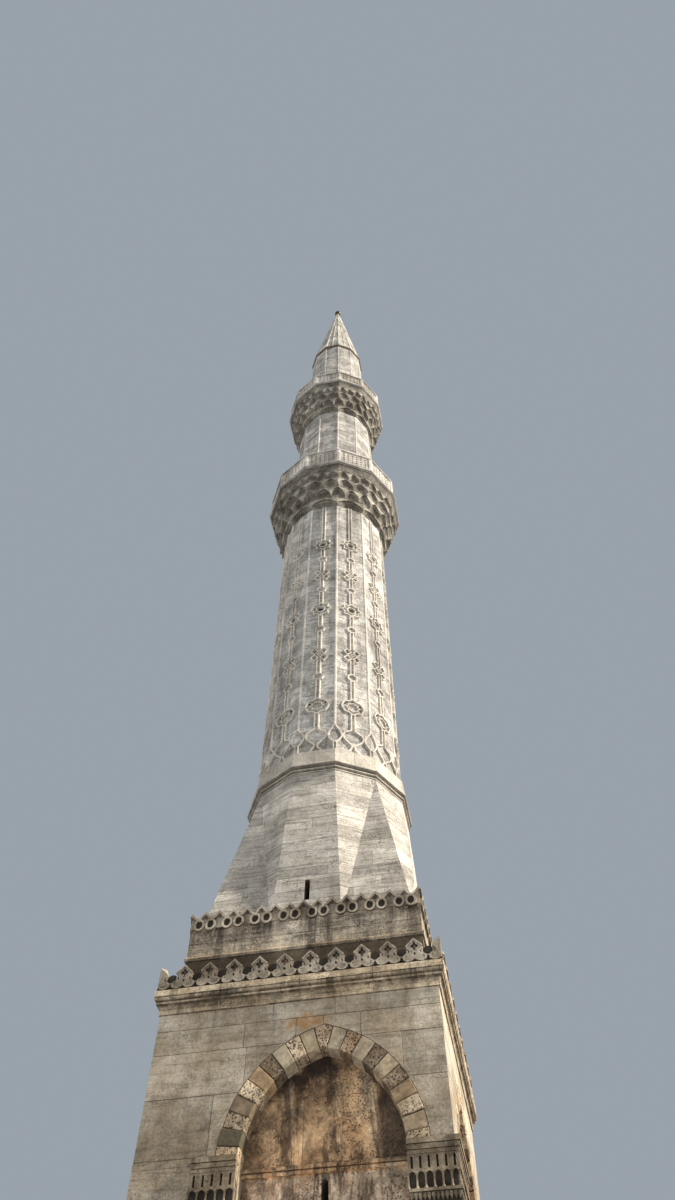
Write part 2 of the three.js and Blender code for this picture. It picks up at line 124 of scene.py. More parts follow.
def upright(degrees, sides=None):
    """Vertical plane through the axis, whose d is the distance outwards and v the height.
    With a number of sides, what lies on it ends in mitres at the corners of that plan."""
    x, y = math.cos(math.radians(degrees)), math.sin(math.radians(degrees))
    slope = math.tan(math.pi / sides) if sides else None
    return Face((0, 0, 0), (-y, x, 0), (0, 0, 1), (x, y, 0), slope)


def square_face(side):
    return upright(FRONT + QUARTER_TURNS[side], SQUARE)


def tower_face(k):
    return upright(FRONT + 360 / SIDES * k, SIDES)


class Pile:
    """Collects many small closed solids into one mesh, each with its own tone from 0 to 1."""

    def __init__(self):
        self.points, self.faces, self.tones = [], [], []

    def add(self, points, faces, tone=0.5):
        first = len(self.points)
        self.points += points
        self.faces += [tuple(first + i for i in face) for face in faces]
        self.tones += tone if isinstance(tone, list) else [tone] * len(points)

    def loft(self, rings, tone=0.5, closed=False):
        """Solid through rings with equal numbers of points, with end faces or closed to a loop."""
        count, last = len(rings[0]), len(rings) - 1
        faces = []
        if not closed:
            faces = [range(count), range((last + 1) * count - 1, last * count - 1, -1)]
        for i in range(last + closed):
            here, there = i * count, (i + 1) % (last + 1) * count
            for j in range(count):
                beside = (j + 1) % count
                faces.append((here + j, here + beside, there + beside, there + j))
        self.add([point for ring in rings for point in ring], faces, tone)


def shifted(points, u, v, hand=1):
    """Flat points moved across and up, and mirrored where the hand is -1."""
    return [(u + hand * a, v + b) for a, b in points]


def clip(outline, a, b, c):
    """Part of a convex outline where a u + b v <= c. Each corner says if its next edge is a joint,
    as the cut is."""
    kept = []
    for (u, v, tag), (next_u, next_v, _) in zip(outline, outline[1:] + outline[:1]):
        here, there = a * u + b * v - c, a * next_u + b * next_v - c
        if here <= 0:
            kept.append((u, v, tag))
        if here * there < 0:
            part = here / (here - there)
            kept.append((u + part * (next_u - u), v + part * (next_v - v), here < 0 or tag))
    return kept


def window(outline, left=-FAR, right=FAR, low=-FAR, high=FAR):
    """Part of a convex outline between limits."""
    for a, b, c in ((0, -1, -low), (0, 1, high), (-1, 0, -left), (1, 0, right)):
        outline = clip(outline, a, b, c)
    return outline


def shrink(outline, gap):
    """Convex outline drawn in by the gap along its joint edges."""
    result = outline
    for (u, v, tag), (next_u, next_v, _) in zip(outline, outline[1:] + outline[:1]):
        length = math.hypot(next_u - u, next_v - v)
        if tag and length > 1e-6:
            a, b = (next_v - v) / length, (u - next_u) / length
            result = clip(result, a, b, a * u + b * v - gap)
    return result


def inset(outline, depth):
    """Each corner moved in by the depth from its joint edges, for outlines that turn left."""
    moved = []
    for i, (u, v, tag) in enumerate(outline):
        before, after = outline[i - 1], outline[(i + 1) % len(outline)]
        first = np.array([before[1] - v, u - before[0]])
        second = np.array([v - after[1], after[0] - u])
        first /= max(np.linalg.norm(first), TINY)
        second /= max(np.linalg.norm(second), TINY)
        near, far = depth * before[2], depth * tag
        turn = first[0] * second[1] - first[1] * second[0]
        if abs(turn) < 0.1:
            step = (first + second) / 2 * max(near, far)
        else:
            step = near * second[1] - far * first[1], far * first[0] - near * second[0]
            step = np.array(step) / turn
            step *= min(1.0, 3 * depth / max(np.linalg.norm(step), TINY))
        moved.append((u + step[0], v + step[1]))
    return moved


def prism(pile, face, outline, outer, inner, chamfer=0.0, tone=0.3):
    """Block over an outline with chamfered joint edges, which are all edges where the corners
    don't say. The outer depth may depend on v."""
    outline = [(*corner, True)[:3] for corner in outline]
    depth = outer if callable(outer) else lambda v: outer
    pile.loft([
        [face.at(u, v, depth(v)) for u, v in inset(outline, chamfer)],
        [face.at(u, v, depth(v) - chamfer) for u, v, _ in outline],
        [face.at(u, v, inner) for u, v, _ in outline],
    ], tone)


def rectangle(left, right, bottom, top, joint=False):
    return [(left, bottom, joint), (right, bottom, joint), (right, top, joint), (left, top, joint)]


class Arch:
    """Pointed arch of two centres over a straight opening."""

    def __init__(self, centre, half, rise, spring, widening=0.0):
        self.centre, self.spring, self.jamb = centre, spring, half + widening
        self.offset = (rise * rise - half * half) / (2 * half)
        self.radius = half + self.offset + widening
        self.crown = math.acos(self.offset / self.radius)
        self.top = spring + self.radius * math.sin(self.crown)

    def half_width(self, height):
        if height <= self.spring:
            return self.jamb
        rise = min((height - self.spring) / self.radius, 1.0)
        return max(self.radius * math.sqrt(1 - rise * rise) - self.offset, 0.0)

    def height(self, half_width):
        """Height at which the arch is as wide as this on each side of its middle."""
        across = min((half_width + self.offset) / self.radius, 1.0)
        return self.spring + self.radius * math.sqrt(1 - across * across)

    def point(self, angle, side=1):
        u = self.radius * math.cos(angle) - self.offset
        return self.centre + side * u, self.spring + self.radius * math.sin(angle)


def base_arch(centre, widening=0.0):
    return Arch(centre, ARCH_HALF, ARCH_RISE, ARCH_SPRING, widening)


CURVE_STEPS = 6


def beside_arch(cell, arch):
    """The part of a cell's rectangle on one side of the arch's middle that lies outside the arch."""
    left, bottom, _ = np.min(cell, axis=0)
    right, top, _ = np.max(cell, axis=0)
    side = 1 if left + right > 2 * arch.centre else -1
    near, far = sorted((abs(left - arch.centre), abs(right - arch.centre)))
    if arch.half_width(bottom) >= far:
        if arch.half_width(top) >= far:
            return []
        bottom = arch.height(far) if top > arch.spring else top
    if top - bottom < JOINT:
        return []
    heights = [bottom + (top - bottom) * i / CURVE_STEPS for i in range(CURVE_STEPS + 1)]
    curve = [(max(arch.half_width(height), near), height) for height in heights]
    if curve[0][0] > far - 1e-6:
        curve = curve[1:]
    points = [(far, bottom), (far, top)] + curve[::-1]
    tags = [far < WALL_HALF - abs(arch.centre) - 0.02] + [True] * (len(points) - 1)
    if side < 0:
        points, tags = points[::-1], tags[-2::-1] + tags[-1:]
    return [(*corner, tag) for corner, tag in zip(shifted(points, arch.centre, 0, side), tags)]


def cuts_between(left, right, lengths, rng):
    """Places of the upright joints of one course."""
    places = []
    place = left + rng.uniform(0.4, 1.0) * lengths[1]
    while place < right - 0.5 * lengths[0]:
        places.append(place)
        place += rng.uniform(*lengths)
    return places


def courses(pile, face, region, levels, lengths, outer, rng, arch=None, chamfer=CHAMFER,
            joint=JOINT):
    """Covers a convex region of a face with courses of blocks, cut back from an arch."""
    for low, high in zip(levels, levels[1:]):
        band = window(region, low=low, high=high)
        if len(band) < 3:
            continue
        left, right = min(u for u, _, _ in band), max(u for u, _, _ in band)
        places = cuts_between(left, right, lengths, rng)
        by_arch = arch is not None and low < arch.top
        if by_arch:
            places = sorted([p for p in places if abs(p - arch.centre) > 0.1] + [arch.centre])
        for start, end in zip([left - 1] + places, places + [right + 1]):
            cell = window(band, start, end)
            if len(cell) >= 3:
                cell = beside_arch(cell, arch) if by_arch else shrink(cell, joint / 2)
            if len(cell) < 3 or area(cell) < 4 * JOINT * JOINT:
                continue
            if by_arch:
                cell = [(*corner, tag) for corner, (_, _, tag) in zip(inset(cell, JOINT / 2), cell)]
            prism(pile, face, cell, outer + rng.uniform(-UNEVEN, UNEVEN), outer - SKIN,
                  chamfer, rng.random())


def area(outline):
    return sum(a[0] * b[1] - a[1] * b[0] for a, b in zip(outline, outline[1:] + outline[:1])) / 2


def even_levels(bottom, top, height, rng, jitter=0.12):
    """Heights of the bed joints, a little uneven."""
    count = max(1, round((top - bottom) / height))
    step = (top - bottom) / count
    inner = [bottom + step * (i + rng.uniform(-jitter, jitter)) for i in range(1, count)]
    return [bottom] + inner + [top]


def run(pile, sides, profile, stones, rng, gap=JOINT / 2, turns=None, tone=None):
    """Moulding around a regular plan. The profile lists distance and height around its section,
    and each side is cut into stones, with mitres at the corners."""
    slope = math.tan(math.pi / sides)
    reach = max(d for d, _ in profile) * slope
    for k in range(sides) if turns is None else turns:
        face = upright(FRONT + 360.0 * k / sides)
        cuts = [-1 + 2 * (i + rng.uniform(-0.12, 0.12)) / stones for i in range(1, stones)]
        for marks in zip([-1.0] + cuts, cuts + [1.0]):
            rough = rng.uniform(-UNEVEN, 0.0)
            rings = []
            for mark, inwards in zip(marks, (gap, -gap)):
                ring = []
                for d, v in profile:
                    limit = d * slope
                    u = max(-limit, min(limit, mark * reach + inwards))
                    ring.append(face.at(mark * limit if abs(mark) == 1.0 else u, v, d + rough))
                rings.append(ring)
            pile.loft(rings, rng.random() if tone is None else tone)


def arc(centre_u, centre_v, radius_u, radius_v, start, end, steps):
    """Points of an arc, with angles in degrees."""
    turns = [math.radians(start + (end - start) * i / steps) for i in range(steps + 1)]
    return [(centre_u + radius_u * math.cos(turn), centre_v + radius_v * math.sin(turn))
            for turn in turns]


def strip(pile, face, line, width, low, high, closed=False, tone=0.5, top=0.36):
    """Raised band with sloping flanks along a line on a face. Its flat top spans twice the share
    "top" of its width."""
    flanks = ((width / 2, low), (width * top, high), (-width * top, high), (-width / 2, low))
    rings = []
    ends = (line[-1], line[0]) if closed else (line[0], line[-1])
    for before, here, after in zip([ends[0]] + line, line, line[1:] + [ends[1]]):
        first, second = np.subtract(here, before), np.subtract(after, here)
        first_length, second_length = np.linalg.norm(first), np.linalg.norm(second)
        first = first / first_length if first_length > TINY else second / second_length
        second = second / second_length if second_length > TINY else first
        along = first + second
        along /= max(np.linalg.norm(along), 1e-6)
        across = np.array([-along[1], along[0]]) / max(abs(first @ along), 0.5)
        rings.append([face.at(*(here + across * reach), depth) for reach, depth in flanks])
    pile.loft(rings, tone, closed)


def new_object(name, data):
    obj = bpy.data.objects.new(name, data)
    bpy.context.scene.collection.objects.link(obj)
    return obj


def filled(outlines, thickness, bevel=0.0):
    """Plate within the first outline with the others as holes: its points as (u, v, d) with the
    back at d = 0, and its faces."""
    curve = bpy.data.curves.new("outline", "CURVE")
    curve.dimensions, curve.fill_mode = "2D", "BOTH"
    curve.extrude, curve.offset = thickness / 2 - bevel, -bevel
    curve.bevel_depth, curve.bevel_resolution = bevel, 0
    for outline in outlines:
        spline = curve.splines.new("POLY")
        spline.points.add(len(outline) - 1)
        for point, (u, v, *_) in zip(spline.points, outline):
            point.co = (u, v, 0, 1)
        spline.use_cyclic_u = True
    holder = new_object("outline", curve)
    shown = holder.evaluated_get(bpy.context.evaluated_depsgraph_get())
    mesh = bpy.data.meshes.new_from_object(shown)
    points = [(p.co.x, p.co.y, p.co.z + thickness / 2) for p in mesh.vertices]
    faces = [tuple(polygon.vertices) for polygon in mesh.polygons]
    bpy.data.objects.remove(holder)
    bpy.data.curves.remove(curve)
    bpy.data.meshes.remove(mesh)
    return points, faces


def set_plate(pile, plate, face, u, v, d, tone):
    """Puts a finished plate on a face."""
    points, faces = plate
    pile.add([face.at(u + a, v + b, d + c) for a, b, c in points], faces, tone)


def lathe(pile, centre, profile, steps, tone=0.5):
    """Turned solid around an upright axis. The profile runs from bottom to top."""
    turns = [2 * math.pi * i / steps for i in range(steps)]
    pile.loft([[(centre[0] + radius * math.cos(turn), centre[1] + radius * math.sin(turn), height)
                for turn in turns] for radius, height in profile], tone)


def corner_bar(pile, k, section, tone, *ends):
    """Bar along a corner of the tower. An end is an apothem, a height and the section's scale."""
    face = upright(FRONT + 15 + 30 * k)
    pile.loft([[face.at(u * scale, height, apothem / CORNER_COSINE + d * scale) for u, d in section]
               for apothem, height, scale in ends], tone)


SHARP_ANGLE = math.radians(32)


def piece(name, pile, material, replaces=()):
    """Makes one named object from a pile, on the frame's only body."""
    mesh = bpy.data.meshes.new(name)
    mesh.from_pydata(pile.points, [], pile.faces)
    tones = mesh.attributes.new("tone", "FLOAT", "POINT")
    tones.data.foreach_set("value", pile.tones)
    shape = bmesh.new()
    shape.from_mesh(mesh)
    bmesh.ops.remove_doubles(shape, verts=shape.verts, dist=1e-6)
    bmesh.ops.recalc_face_normals(shape, faces=shape.faces)
    shape.to_mesh(mesh)
    shape.free()
    mesh.shade_smooth()
    mesh.set_sharp_from_angle(angle=SHARP_ANGLE)
    mesh.materials.append(material)
    obj = new_object(name, mesh)
    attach(obj, "root")
    if replaces:
        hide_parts(*replaces)


def carved_piece(node, ending, pile, sunk, material):
    """Carving that stands for a node, and the ground between its parts, dark as painted shade."""
    piece(f"{node}_{ending}", pile, material, [node])
    piece(f"{node}_ground", sunk, hollow)


def moulding_piece(name, sides, profile, stones, seed, material, node):
    """A moulding around the tower that stands for a node."""
    pile = Pile()
    run(pile, sides, profile, stones, Random(seed))
    piece(name, pile, material, [node])


# Materials


def tint(code):
    """Colour from the code of red, green and blue that a screen shows."""
    parts = [int(code[i:i + 2], 16) for i in (0, 2, 4)]
    return tuple(
        (c / 255 / 12.92 if c <= 10 else ((c / 255 + 0.055) / 1.055) ** 2.4) for c in parts
    ) + (1.0,)


class Nodes:
    """Short way to build a material's node tree."""

    def __init__(self, name):
        self.material = bpy.data.materials.new(name)
        self.material.use_nodes = True
        self.tree = self.material.node_tree
        self.place = self.add("TexCoord").outputs["Object"]

    def feed(self, socket, value):
        """Gives a socket a link, a number or the code of a colour."""
        if isinstance(value, bpy.types.NodeSocket):
            self.tree.links.new(value, socket)
        else:
            socket.default_value = tint(value) if isinstance(value, str) else value

    def add(self, kind, inputs=None, **settings):
        node = self.tree.nodes.new("ShaderNode" + kind)
        for key, value in settings.items():
            setattr(node, key, value)
        for key, value in (inputs or {}).items():
            self.feed(node.inputs[key], value)
        return node

    def axes(self, vector):
        return self.add("SeparateXYZ", {0: vector}).outputs

    def stretched(self, x, y, z):
        """The place scaled along the axes."""
        return self.add("VectorMath", {0: self.place, 1: (x, y, z)}, operation="MULTIPLY").outputs[0]

    def noise(self, scale, detail=4.0, rough=0.6, distortion=0.0):
        """Noise with one scale, or with one for each axis."""
        place = self.place
        if isinstance(scale, tuple):
            place, scale = self.stretched(*scale), 1.0
        return self.add("TexNoise", {
            "Vector": place, "Scale": scale, "Detail": detail, "Roughness": rough,
            "Distortion": distortion,
        }).outputs["Fac"]

    def cells(self, scale):
        return self.add("TexVoronoi", {"Vector": self.place, "Scale": scale}).outputs["Distance"]

    def span(self, value, low, high, to_low=0.0, to_high=1.0):
        """Value mapped from one range to another and held there."""
        return self.add("MapRange", {
            "Value": value, "From Min": low, "From Max": high, "To Min": to_low, "To Max": to_high,
        }).outputs["Result"]

    def maths(self, operation, first, second):
        return self.add("Math", {0: first, 1: second}, operation=operation).outputs[0]

    def plus(self, first, second):
        return self.maths("ADD", first, second)

    def times(self, first, second):
        return self.maths("MULTIPLY", first, second)

    def mix(self, factor, first, second, blend="MIX"):
        return self.add("Mix", {"Factor": factor, 6: first, 7: second}, data_type="RGBA",
                        blend_type=blend).outputs[2]

    def over(self, colour, coat, pattern, low, high, amount=1.0):
        """Colour with a coat where a pattern is high. The pattern is a value or how a noise is
        made."""
        value = self.noise(*pattern) if isinstance(pattern, tuple) else pattern
        return self.mix(self.span(value, low, high, 0.0, amount), colour, coat)

    def shaded(self, colour, shade):
        """Colour multiplied by a number."""
        grey = self.add("CombineColor", {"Red": shade, "Green": shade, "Blue": shade})
        return self.mix(1.0, colour, grey.outputs[0], "MULTIPLY")

    def raw_tone(self):
        return self.add("Attribute", attribute_name="tone").outputs["Fac"]

    def tone(self, low, high):
        """Number that follows the tone of each block."""
        return self.span(self.raw_tone(), 0.0, 1.0, low, high)

    def bump(self, height, distance, strength=1.0):
        return self.add("Bump", {
            "Height": height, "Distance": distance, "Strength": strength,
        }).outputs["Normal"]

    def finish(self, colour, roughness, **others):
        """Sets the shader, whose other sockets have _ for a space, and returns the material."""
        shader = self.tree.nodes["Principled BSDF"]
        self.feed(shader.inputs["Base Color"], colour)
        self.feed(shader.inputs["Roughness"], roughness)
        for name, value in others.items():
            self.feed(shader.inputs[name.replace("_", " ")], value)
        return self.material


def stone(name, palette, tones=0.3, streaks=0.4, bedding=0.3, pores=0.3, painted_underside_shade=0.5,
          pore_scale=70.0, relief=0.003, mottling=1.0, contrast=0.15, drips=(), patch=None,
          pitted=0.44, pit_size=0.3, fade=None):
    """Weathered stone: blotches, water streaks, bedding lines, pores, and painted shade that darkens
    faces turning downwards. The palette is its light, dark, stained and crusted colour. Each drip is
    the height that dark streaks run down from, their length and strength. A patch is a place, a size
    and a colour, and a fade is two heights with the shade at each."""
    light, dark, stain, crust = palette.split()
    n = Nodes(name)
    colour = n.over(light, dark, (2.6 * mottling, 7.0, 0.66), 0.4, 0.62)
    colour = n.over(colour, stain, (0.9 * mottling, 7.0, 0.7, 0.8), 0.47, 0.66, 0.8)
    grain, patches = n.noise(52.0, 4.0, 0.75), n.noise(11.0, 6.0, 0.72)
    colour = n.over(colour, stain, patches, 0.52, 0.72, 0.45)
    colour = n.over(colour, crust, ((10.0, 10.0, 0.6), 6.0, 0.7), 0.5, 0.72, streaks)
    beds = n.noise((2.6, 2.6, 38.0), 5.0, 0.75, 0.5)
    colour = n.over(colour, crust, beds, 0.5, 0.68, bedding)
    height = n.axes(n.place)["Z"]
    for top, length, strength in drips:
        near = n.times(n.span(height, top - length, top), n.span(height, top, top + 0.002, 1.0, 0.0))
        drip = n.noise((5.0, 5.0, 0.5), 6.0, 0.75, 0.6)
        colour = n.mix(n.times(near, n.span(drip, 0.46, 0.6, 0.0, strength)), colour, crust)
    if fade:
        colour = n.shaded(colour, n.span(height, *fade))
    if patch:
        (x, y, z), size, rusty = patch
        away = n.add("VectorMath", {0: n.stretched(1.0, 1.0, 2.4), 1: (x, y, 2.4 * z)},
                     operation="DISTANCE").outputs["Value"]
        edge = n.span(n.noise(9.0, 6.0, 0.75), 0.3, 0.7, -0.6 * size, 0.6 * size)
        inside = n.span(n.plus(away, edge), 1.15 * size, 0.6 * size, 0.0, 0.75)
        colour = n.mix(inside, colour, rusty)
    speckle = n.span(grain, 0.3, 0.72, 0.68, 1.2)
    colour = n.shaded(colour, n.times(speckle, n.tone(1.0 - tones, 1.0 + 0.45 * tones)))
    worn = n.noise(6.5, 8.0, 0.78, 0.6)
    colour = n.shaded(colour, n.span(worn, 0.36, 0.62, 1.0 + contrast, 1.0 - contrast))
    ragged = n.noise(1.4 * pore_scale, 3.0, 0.8)
    ragged = n.plus(n.cells(pore_scale), n.span(ragged, 0.34, 0.66, -1.6 * pit_size, 1.6 * pit_size))
    holes = n.times(n.span(ragged, 0.5 * pit_size, pit_size, 1.0, 0.0),
                    n.span(n.noise(6.0, 4.0, 0.7), pitted, pitted + 0.16))
    colour = n.mix(n.times(holes, pores), colour, crust)
    # Painted shade: faces that turn downwards are darkened towards the crust colour, in blotches.
    facing = n.axes(n.add("NewGeometry").outputs["Normal"])["Z"]
    under = n.times(n.span(facing, -0.8, -0.05, painted_underside_shade, 0.0), n.span(patches, 0.3, 0.6, 0.5, 1.0))
    colour = n.mix(under, colour, crust)
    rise = n.plus(n.times(grain, 0.35), n.times(beds, -bedding))
    rise = n.maths("SUBTRACT", rise, n.times(holes, 1.6 * pores))
    return n.finish(colour, n.span(grain, 0.2, 0.8, 0.78, 0.97), Specular_IOR_Level=0.25,
                    Normal=n.bump(n.plus(rise, patches), relief))


def lead_sheet():
    """Dull grey lead with pale oxide runs and soft dents."""
    n = Nodes("lead_sheet")
    colour = n.over("cec8bc", "969186", (3.0, 6.0, 0.6), 0.38, 0.64)
    colour = n.over(colour, "e6e0d2", ((11.0, 11.0, 0.7), 5.0, 0.65), 0.48, 0.7, 0.7)
    colour = n.over(colour, "544c42", ((16.0, 16.0, 1.2), 4.0, 0.7), 0.54, 0.68, 0.75)
    return n.finish(n.shaded(colour, n.tone(0.72, 1.12)), n.span(n.noise(20.0), 0.3, 0.7, 0.5, 0.75),
                    Metallic=0.25, Normal=n.bump(n.noise(7.0, 4.0, 0.5), 0.006, 0.8))


def smooth_block():
    """Smooth voussoirs, whose kind of stone follows the tone of the block: grey-green, dark brown,
    orange and pale cream."""
    n = Nodes("smooth_voussoir")
    kind = n.add("ValToRGB", {"Fac": n.raw_tone()})
    kinds = ((0.0, "6c6450"), (0.25, "98846c"), (0.55, "ccac84"), (0.8, "c8b89c"))
    stops = kind.color_ramp.elements
    stops[1].position = kinds[-1][0]
    for position, _ in kinds[1:-1]:
        stops.new(position)
    for stop, (_, code) in zip(stops, kinds):
        stop.color = tint(code)
    grain, blotches = n.noise(48.0, 4.0, 0.75), n.noise(7.0, 7.0, 0.7)
    colour = n.over(kind.outputs["Color"], "685440", blotches, 0.43, 0.6, 0.6)
    colour = n.over(colour, "362c24", ((14.0, 14.0, 2.0), 5.0, 0.7), 0.52, 0.7, 0.4)
    colour = n.shaded(colour, n.span(n.noise(9.0, 8.0, 0.78, 0.6), 0.38, 0.6, 1.22, 0.72))
    colour = n.shaded(colour, n.span(grain, 0.28, 0.74, 0.74, 1.16))
    return n.finish(colour, n.span(grain, 0.2, 0.8, 0.7, 0.92), Specular_IOR_Level=0.3,
                    Normal=n.bump(n.plus(blotches, n.times(grain, 0.3)), 0.003))


def niche_stone():
    """Back of the arched niches: ochre with pale runs, darker with stain and painted shadow towards
    the arch and the left, with painted shade beside the jambs of the front niche and over the whole
    niche on the right side.
    """
    n = Nodes("niche_stone")
    place = n.axes(n.place)
    height = place["Z"]
    colour = n.over("f4cc9c", "c4986e", (3.4, 8.0, 0.72), 0.42, 0.6)
    low = n.over("f6d8b8", "c0a082", (4.2, 8.0, 0.72, 0.5), 0.44, 0.58)
    colour = n.mix(n.span(height, STRING_BOTTOM - 0.01, STRING_BOTTOM, 1.0, 0.0), colour, low)
    colour = n.over(colour, "d8c6a8", ((4.2, 4.2, 0.7), 7.0, 0.72), 0.48, 0.6, 0.85)
    colour = n.over(colour, "4a3222", ((6.5, 6.5, 1.1), 7.0, 0.75, 0.7), 0.5, 0.6, 0.8)
    across = n.maths("SUBTRACT", place["X"], ARCH_CENTRES["front"])
    # Partly stain and partly painted shadow of the arch: dark brown towards its upper left.
    from_right = n.plus(n.times(across, -0.9), n.times(height, 1.35))
    stain_and_arch_shadow = n.times(n.span(from_right, 5.1, 5.6), n.span(n.noise(2.6, 7.0, 0.75), 0.3, 0.52))
    colour = n.mix(stain_and_arch_shadow, colour, "3a281c")
    # Painted shade beside the jambs of the front niche above the string course: strong on the right,
    # fainter on the left.
    edges = n.maths("MAXIMUM", n.span(across, 0.33, 0.38, 0.0, 0.88),
                    n.span(across, -0.5, -0.34, 0.5, 0.0))
    in_front = n.times(n.span(place["Y"], -0.88, -0.8, 1.0, 0.0),
                       n.span(height, STRING_BOTTOM, ARCH_SPRING, 0.15, 1.0))
    colour = n.mix(n.times(edges, in_front), colour, "4c3828")
    grain = n.noise(60.0, 4.0, 0.75)
    # The third shade darkens the niche on the right side as painted shade, where the key light falls
    # on it.
    for shade in (n.span(n.noise(7.0, 9.0, 0.8, 0.8), 0.38, 0.6, 1.55, 0.5), n.tone(0.86, 1.16),
                  n.span(place["X"], 0.8, 0.9, 1.0, 0.6), n.span(grain, 0.28, 0.74, 0.7, 1.2)):
        colour = n.shaded(colour, shade)
    ragged = n.plus(n.cells(62.0), n.span(n.noise(90.0, 3.0, 0.8), 0.34, 0.66, -0.45, 0.45))
    holes = n.times(n.span(ragged, 0.12, 0.28, 1.0, 0.0), n.span(n.noise(5.0, 4.0, 0.7), 0.47, 0.58))
    colour = n.mix(n.times(holes, 0.7), colour, "2c2018")
    rise = n.maths("SUBTRACT", n.noise(12.0, 7.0, 0.75), n.times(holes, 1.2))
    return n.finish(colour, n.span(grain, 0.2, 0.8, 0.8, 0.97), Normal=n.bump(rise, 0.010))


def old_gilt():
    """Gilt copper that has gone dark."""
    n = Nodes("old_gilt")
    colour = n.over("463c30", "705e3e", (18.0, 5.0, 0.6), 0.4, 0.65)
    return n.finish(colour, n.span(n.noise(40.0), 0.3, 0.7, 0.42, 0.66), Metallic=0.7,
                    Normal=n.bump(n.noise(60.0, 3.0, 0.6), 0.001))


ashlar = stone("base_ashlar", "d0c3af b0a18b 988366 4e4232", tones=0.2, streaks=0.3, bedding=0.45,
               pores=0.25, painted_underside_shade=0.6, relief=0.005, contrast=0.2, drips=((WALL_TOP, 0.3, 0.15),),
               patch=((0.05, -WALL_HALF, 4.452), 0.16, "c89254"), fade=(3.7, 4.5, 0.84, 1.25))
mortar = stone("mortar", "968a78 706454 786854 3a322a", tones=0.0, pores=0.6, relief=0.005)
tympanum = niche_stone()
porous = stone("porous_voussoir", "e2ceae c4aa8a 967456 3a2a21", tones=0.55, streaks=0.3,
               bedding=0.0, pores=0.9, pore_scale=56.0, relief=0.014, mottling=2.0, contrast=0.3,
               pitted=0.3, pit_size=0.34)
smooth = smooth_block()
moulding = stone("cornice_stone", "fce6c4 dac2a0 a88a66 342a20", tones=0.2, streaks=0.75,
                 bedding=0.7, pores=0.5, painted_underside_shade=0.95, relief=0.006, contrast=0.34,
                 drips=((CORNICE_TOP - 0.05, 0.14, 0.9),))
carved = stone("carved_stone", "d4c8b4 a0927e 706250 342b23", streaks=0.6, bedding=0.0, pores=0.4,
               painted_underside_shade=0.95, mottling=2.0, contrast=0.25)
# Nearly black stone that paints shade: the ground behind carving, the inside of the frieze's rings and
# the drilled holes of the shaft.
hollow = stone("painted_shade_stone", "544c42 3c352e 322b24 1e1a16", tones=0.2, bedding=0.0, mottling=2.0)
dark_carved = stone("capital_stone", "b0a088 80705a 5a4a39 28201a", tones=0.45, streaks=0.7,
                    bedding=0.0, pores=0.5, painted_underside_shade=0.95, mottling=2.0, contrast=0.2)
tier_stone = stone("tier_stone", "eadac2 beae97 847460 2e261e", tones=0.15, streaks=0.8,
                   bedding=0.75, pores=0.5, painted_underside_shade=0.8, relief=0.012, contrast=0.4,
                   drips=((TIER_TOP, 0.26, 1.0),))
# Dark brown stone, partly the band's own colour and partly painted shade for the band in shadow behind
# the crest; the eaves take it as painted shade under their overhang.
painted_shade_band_stone = stone("painted_shade_band_stone", "80725e 5e5242 504436 3a322a", tones=0.15, streaks=0.5,
                   bedding=0.4)
shoe_stone = stone("shoe_stone", "f0e8db d6cdc0 b0a698 6a6054", tones=0.32, streaks=0.3,
                   bedding=0.75, pores=0.7, pore_scale=48.0, relief=0.007, contrast=0.13,
                   pitted=0.5)
ring_stone = stone("ring_stone", "dcd3c4 c4bbad a09688 50473e", tones=0.1, streaks=0.3,
                   bedding=0.2, painted_underside_shade=0.8, contrast=0.1)
shaft_stone = stone("shaft_stone", "ece6dd cec8bf 98938c 4a4540", tones=0.26, streaks=0.6,
                    bedding=0.75, pores=0.5, relief=0.012, contrast=0.3, drips=((13.3, 1.6, 0.4),))
relief_stone = stone("relief_stone", "ece4d6 d6cec1 aaa296 5a5249", tones=0.15, streaks=0.5,
                     bedding=0.2, painted_underside_shade=0.4)
# Corbel stone, dark partly from soot and partly as painted shade, which its tones deepen in the niches
# and the cove.
soot_and_shade_stone = stone("corbel_stone", "c8c0b1 948b7c 645b4e 26201a", tones=0.5, streaks=0.55,
                   bedding=0.0, pores=0.5, painted_underside_shade=0.65, relief=0.009, mottling=1.6, contrast=0.3)
parapet_stone = stone("parapet_stone", "eee6da ccc4b8 9a9184 463f37", streaks=0.5, bedding=0.1,
                      painted_underside_shade=0.7, contrast=0.28)
lead = lead_sheet()
gilt = old_gilt()


# Base: plinth, walls, arches and capitals


def plinth():
    rng, pile = Random(3), Pile()
    bottom, top, edge = extent("plinth")
    bevel, inner = 0.045, edge - 0.35
    profile = [(inner, bottom), (edge, bottom), (edge, top - bevel),
               (edge - 0.006, top - bevel + 0.004), (edge - bevel, top), (inner, top)]
    run(pile, SQUARE, profile, 4, rng)
    core = inner - JOINT
    floor = rectangle(-core, core, -core, core)
    level = Face((0, 0, 0), (1, 0, 0), (0, 1, 0), (0, 0, 1))
    courses(pile, level, floor, even_levels(-core, core, 0.3, rng), (0.25, 0.45), top, rng)
    prism(pile, level, floor, top - SKIN, bottom)
    piece("plinth_stones", pile, ashlar, ["plinth"])


# Bed joints of the base wall, the upper three as in the photograph
BASE_LEVELS = (0.58, 0.93, 1.27, 1.62, 1.95, 2.28, 2.62, 2.96, 3.28, 3.60, 3.995, 4.31, 4.49)
BLOCK_LENGTHS = (0.38, 0.72)
THINNEST_COURSE = 0.04
DOOR_HALF = 0.21


